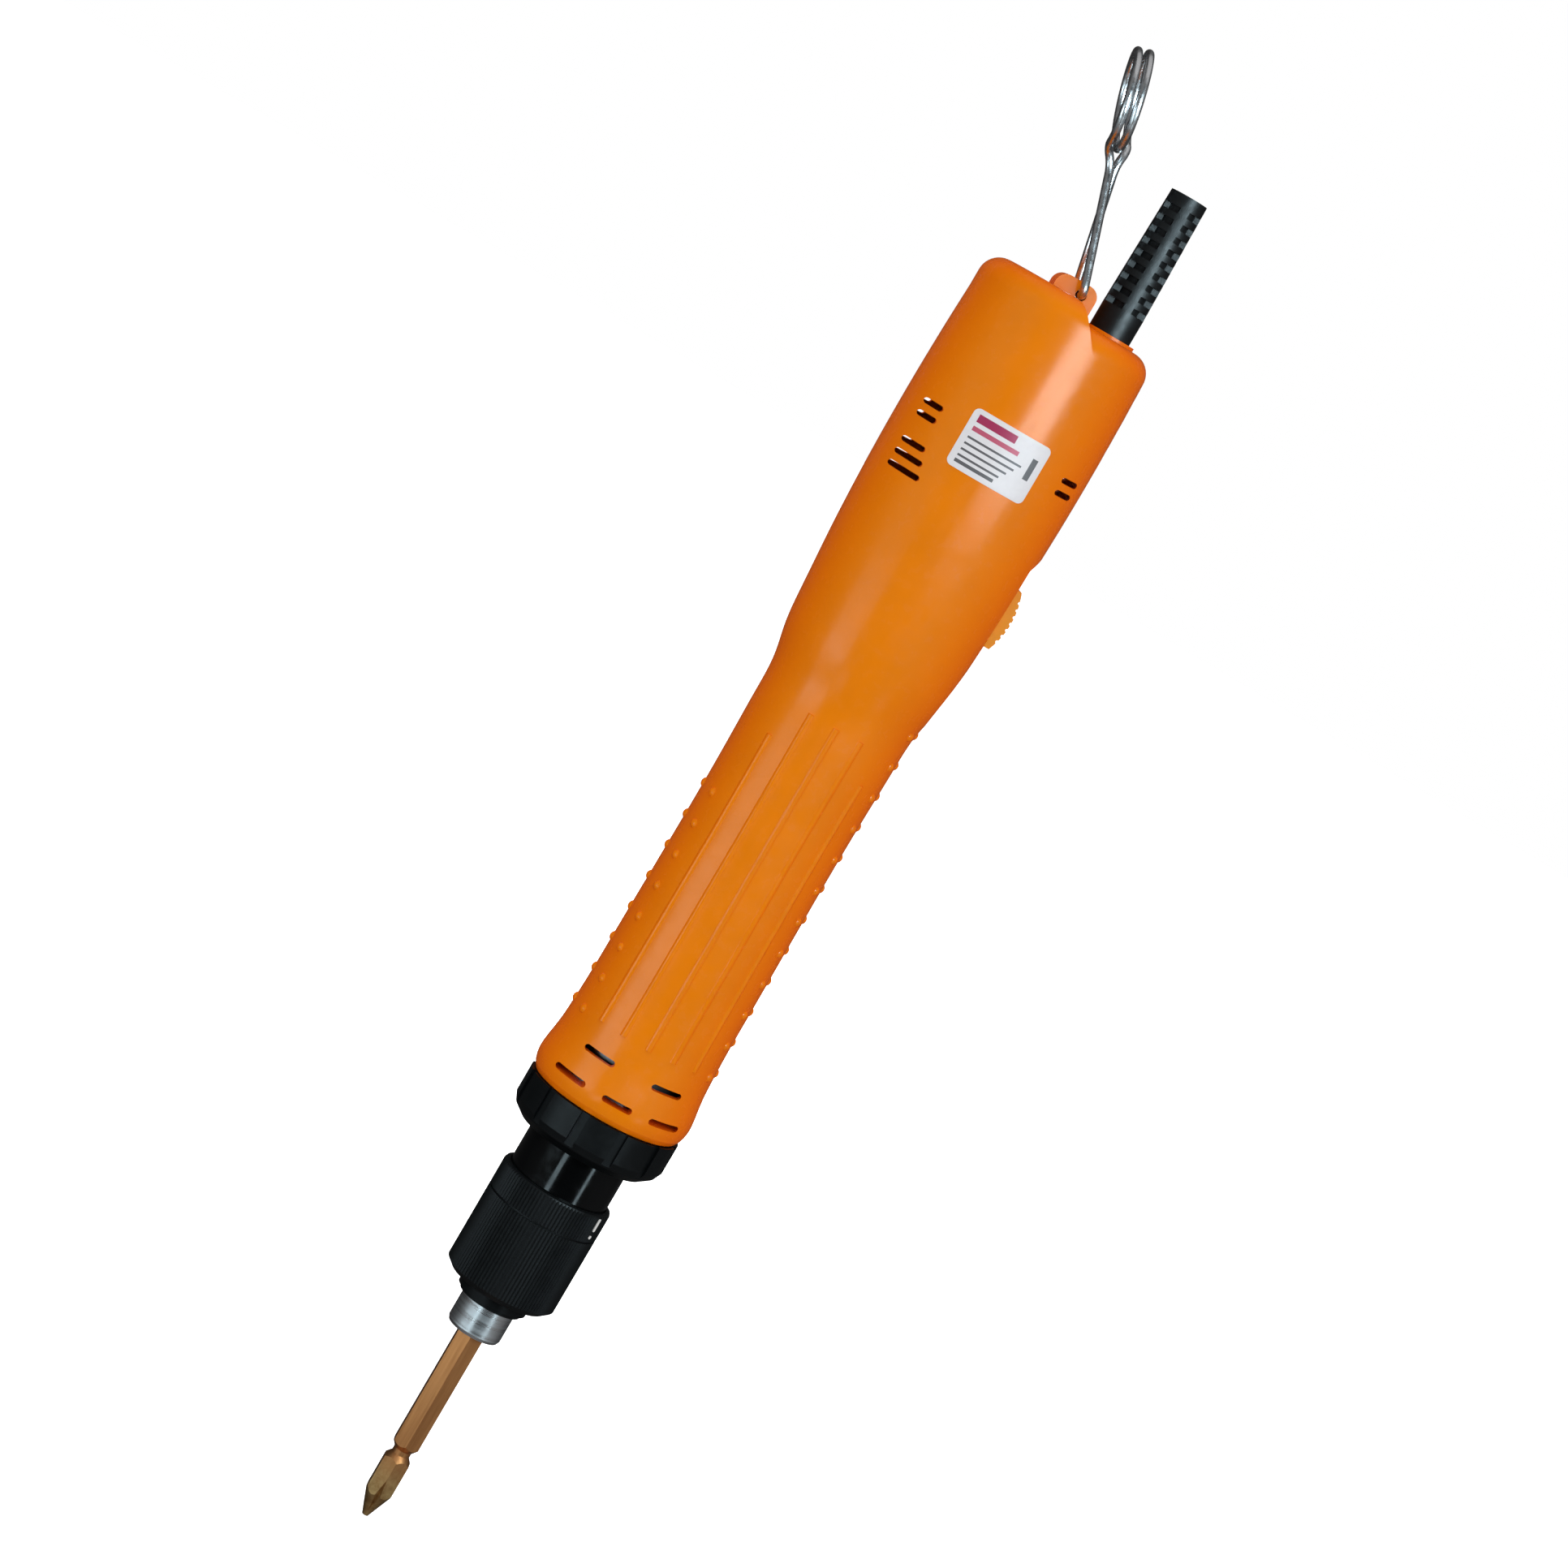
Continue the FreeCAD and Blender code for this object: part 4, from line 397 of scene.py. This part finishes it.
for shader, names in looks.items():
    for name in names:
        slots = nodes[name].data.materials
        slots.clear()
        slots.append(shader.material)
mark_paint = moulded("mark_white", MARK_WHITE, rough=0.45, grain_mm=0.2, grain_depth_mm=0.006, mottle=0.05)


def curved_plate(name, outline, radius, thickness, facing, height):
    """A thin closed plate wrapped round the tool's axis.

    The outline is pairs of across and up, and like the other sizes it is in millimetres.
    """
    count = len(outline)
    points = []
    for layer in (radius - thickness, radius):
        for across, up in outline:
            angle = math.radians(facing) + across / radius
            points.append((layer * math.sin(angle) * MM, -layer * math.cos(angle) * MM, (height + up) * MM))
    faces = [tuple(reversed(range(count))), tuple(range(count, 2 * count))]
    for i in range(count):
        after = (i + 1) % count
        faces.append((i, after, after + count, i + count))
    mesh = bpy.data.meshes.new(name)
    mesh.from_pydata(points, [], faces)
    mesh.materials.append(mark_paint.material)
    piece = bpy.data.objects.new(name, mesh)
    bpy.context.scene.collection.objects.link(piece)
    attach(piece, "torque_knob")


def oval(half_across, half_up, round_off, steps=8):
    """Plan points of a rounded bar, with a number of steps for each corner."""
    points = []
    for i in range(4 * steps):
        angle = 2 * math.pi * (i + 0.5) / (4 * steps)
        side_x, side_y = math.copysign(1, math.cos(angle)), math.copysign(1, math.sin(angle))
        points.append((side_x * (half_across - round_off) + round_off * math.cos(angle),
                       side_y * (half_up - round_off) + round_off * math.sin(angle)))
    return points


MARK_RISE = 0.03
MARK_THICKNESS = 0.2
MARK_FACING = 56
MARK_HALF_WIDTH = 0.45
TICK_HALF_HEIGHT, TICK_ROUNDING, TICK_HEIGHT = 1.75, 0.4, 90.7
DOT_ROUNDING, DOT_HEIGHT = 0.44, 87.4


def index_marks():
    """A tick and a dot on the scale ring."""
    mark_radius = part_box("torque_scale_ring")[1].x / MM + MARK_RISE
    tick = oval(MARK_HALF_WIDTH, TICK_HALF_HEIGHT, TICK_ROUNDING)
    curved_plate("index_tick", tick, mark_radius, MARK_THICKNESS, MARK_FACING, TICK_HEIGHT)
    dot = oval(MARK_HALF_WIDTH, MARK_HALF_WIDTH, DOT_ROUNDING)
    curved_plate("index_dot", dot, mark_radius, MARK_THICKNESS, MARK_FACING, DOT_HEIGHT)


def squeeze_springs():
    """Coils that stand for the springs: copies of their meshes riding on their bodies, with the originals
    hidden.
    """
    for joint in frame["record"]["behaviour"]["joints"]:
        for spring in joint.get("deforming_nodes", ()):
            name = spring["node"]
            coil = bpy.data.objects.new(f"{name}_coil", nodes[name].data.copy())
            bpy.context.scene.collection.objects.link(coil)
            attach(coil, body_of(nodes[name])[0])
            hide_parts(name)
            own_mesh(coil)


LENS_MM = 93.24
SENSOR_MM = 36
FAR_CLIP = 20
EYE = Vector((-0.11395, -0.92803, 0.3185))
AIM = Vector((0, 0, 0.202))
AIM_ASIDE = 0.0018
ROLL = math.radians(30.37)


def camera():
    """The photograph's camera: a long lens, rolled so that the tool leans to the right."""
    data = bpy.data.cameras.new("camera")
    data.lens = LENS_MM
    data.sensor_width = SENSOR_MM
    data.clip_end = FAR_CLIP
    placed = bpy.data.objects.new("camera", data)
    bpy.context.scene.collection.objects.link(placed)
    side = Vector((EYE.y, -EYE.x, 0)).normalized()
    forward = (AIM + side * AIM_ASIDE - EYE).normalized()
    right = forward.cross(Vector((0, 0, 1))).normalized()
    up = right.cross(forward)
    rolled_right = right * math.cos(ROLL) + up * math.sin(ROLL)
    rolled_up = up * math.cos(ROLL) - right * math.sin(ROLL)
    turn = Matrix((rolled_right, rolled_up, -forward)).transposed()
    placed.matrix_world = Matrix.Translation(EYE) @ turn.to_4x4()
    bpy.context.scene.camera = placed


GLINT_COLOUR = (0.70, 0.91, 1.0)


def lamp(name, facing, distance, height, width, length, power, aim=0.22):
    """A soft light at an angle from the front, turned towards the tool's axis."""
    data = bpy.data.lights.new(name, "AREA")
    data.shape = "RECTANGLE"
    data.size, data.size_y = width, length
    data.energy = power
    placed = bpy.data.objects.new(name, data)
    placed.visible_camera = False
    bpy.context.scene.collection.objects.link(placed)
    angle = math.radians(facing)
    eye = Vector((distance * math.sin(angle), -distance * math.cos(angle), height))
    way = eye - Vector((0, 0, aim))
    placed.matrix_world = Matrix.Translation(eye) @ way.to_track_quat("Z", "Y").to_matrix().to_4x4()
    return placed


def fill(name, **values):
    """A light that only brightens, and isn't mirrored in gloss."""
    lamp(name, **values).visible_glossy = False


def glint(name, **values):
    """A cool light that is only seen mirrored in gloss."""
    placed = lamp(name, **values)
    placed.visible_diffuse = False
    placed.data.color = GLINT_COLOUR


def lights():
    """Wide fills all round, and small lights for the highlights of head, grip and neck."""
    lamp("top_wide", facing=0, distance=0.01, height=1.9, width=2.2, length=2.2, power=8)
    fill("front_fill", facing=5, distance=1.2, height=0.5, width=0.9, length=0.9, power=5)
    fill("left_fill", facing=-55, distance=1.2, height=0.4, width=0.9, length=0.9, power=3.2)
    fill("right_fill", facing=55, distance=1.2, height=0.4, width=0.9, length=0.9, power=3.2)
    fill("rear_fill_left", facing=-160, distance=1.0, height=0.5, width=0.8, length=0.8, power=5)
    fill("rear_fill_right", facing=160, distance=1.0, height=0.5, width=0.8, length=0.8, power=5)
    glint("head_key", facing=26, distance=0.6, height=0.36,
          width=0.34, length=0.20, power=8.0, aim=0.31)
    glint("grip_strip", facing=-48, distance=0.45, height=0.09,
          width=0.26, length=0.13, power=0.85, aim=0.15)
    glint("neck_left", facing=-23, distance=0.36, height=0.014,
          width=0.06, length=0.05, power=0.11, aim=0.10)
    glint("neck_right", facing=43, distance=0.36, height=0.014,
          width=0.035, length=0.05, power=0.09, aim=0.10)


FLOOR_RADIUS = 6
FLOOR_SIDES = 96
FLOOR_HEIGHT = -0.0003
FLOOR_GLOW = 0.9
FLOOR_DARK, FLOOR_LIGHT = (0.90, 0.90, 0.895), (0.92, 0.92, 0.915)
FLOOR_CLOUD_MM = 60


def pale_floor():
    """A round floor of plain paper under the tool."""
    mesh = bpy.data.meshes.new("floor")
    angles = [2 * math.pi * i / FLOOR_SIDES for i in range(FLOOR_SIDES)]
    points = [(FLOOR_RADIUS * math.cos(angle), FLOOR_RADIUS * math.sin(angle), FLOOR_HEIGHT)
              for angle in angles]
    mesh.from_pydata(points, [], [tuple(range(FLOOR_SIDES))])
    paper = Shader("floor", Specular_IOR_Level=0.1, Roughness=0.9, Emission_Color=(1, 1, 1, 1),
                   Emission_Strength=FLOOR_GLOW)
    paper.colour(paper.mix(paper.noise(FLOOR_CLOUD_MM, detail=2), FLOOR_DARK, FLOOR_LIGHT))
    mesh.materials.append(paper.material)
    floor = bpy.data.objects.new("floor", mesh)
    bpy.context.scene.collection.objects.link(floor)
    floor.visible_diffuse = False
    floor.visible_glossy = False


FRONT = (0.15, -0.98, 0.12)
# Places and grey levels of the surround, from behind the tool (0) to in front of it (1)
SURROUND = ((0.0, 0.10), (0.30, 0.16), (0.50, 0.42), (0.70, 0.62), (0.89, 0.62), (0.955, 0.06))
MIRRORED_STRENGTH = 0.38


def surround():
    """An even pale surround: graded for light and gloss, plain white where the camera sees it."""
    world = bpy.data.worlds.new("surround")
    bpy.context.scene.world = world
    world.use_nodes = True
    tree = world.node_tree
    backdrop = tree.nodes["Background"]
    way = tree.nodes.new("ShaderNodeTexCoord").outputs["Generated"]
    facing = tree.nodes.new("ShaderNodeVectorMath")
    facing.operation = "DOT_PRODUCT"
    facing.inputs[1].default_value = FRONT
    tree.links.new(way, facing.inputs[0])
    front = tree.nodes.new("ShaderNodeMapRange")
    for i, number in enumerate((-1, 1, 0, 1), 1):
        front.inputs[i].default_value = number
    tree.links.new(facing.outputs["Value"], front.inputs[0])
    shade = tree.nodes.new("ShaderNodeValToRGB")
    steps = shade.color_ramp.elements
    places, levels = zip(*SURROUND)
    steps[0].position, steps[1].position = places[0], places[-1]
    for place in places[1:-1]:
        steps.new(place)
    for step, level in zip(steps, levels):
        step.color = (level, level, level, 1)
    tree.links.new(front.outputs[0], shade.inputs[0])
    mirrored = tree.nodes.new("ShaderNodeBackground")
    mirrored.inputs["Strength"].default_value = MIRRORED_STRENGTH
    seen = tree.nodes.new("ShaderNodeBackground")
    seen.inputs["Color"].default_value = (1, 1, 1, 1)
    rays = tree.nodes.new("ShaderNodeLightPath")
    shown = backdrop.outputs[0]
    for kind, other in (("Is Glossy Ray", mirrored), ("Is Camera Ray", seen)):
        mixed = tree.nodes.new("ShaderNodeMixShader")
        tree.links.new(rays.outputs[kind], mixed.inputs[0])
        tree.links.new(shown, mixed.inputs[1])
        tree.links.new(other.outputs[0], mixed.inputs[2])
        shown = mixed.outputs[0]
    for part in (backdrop, mirrored):
        tree.links.new(shade.outputs["Color"], part.inputs["Color"])
    tree.links.new(shown, tree.nodes["World Output"].inputs["Surface"])


index_marks()
squeeze_springs()
camera()
pale_floor()
lights()
surround()
bpy.context.scene.view_settings.view_transform = "Standard"
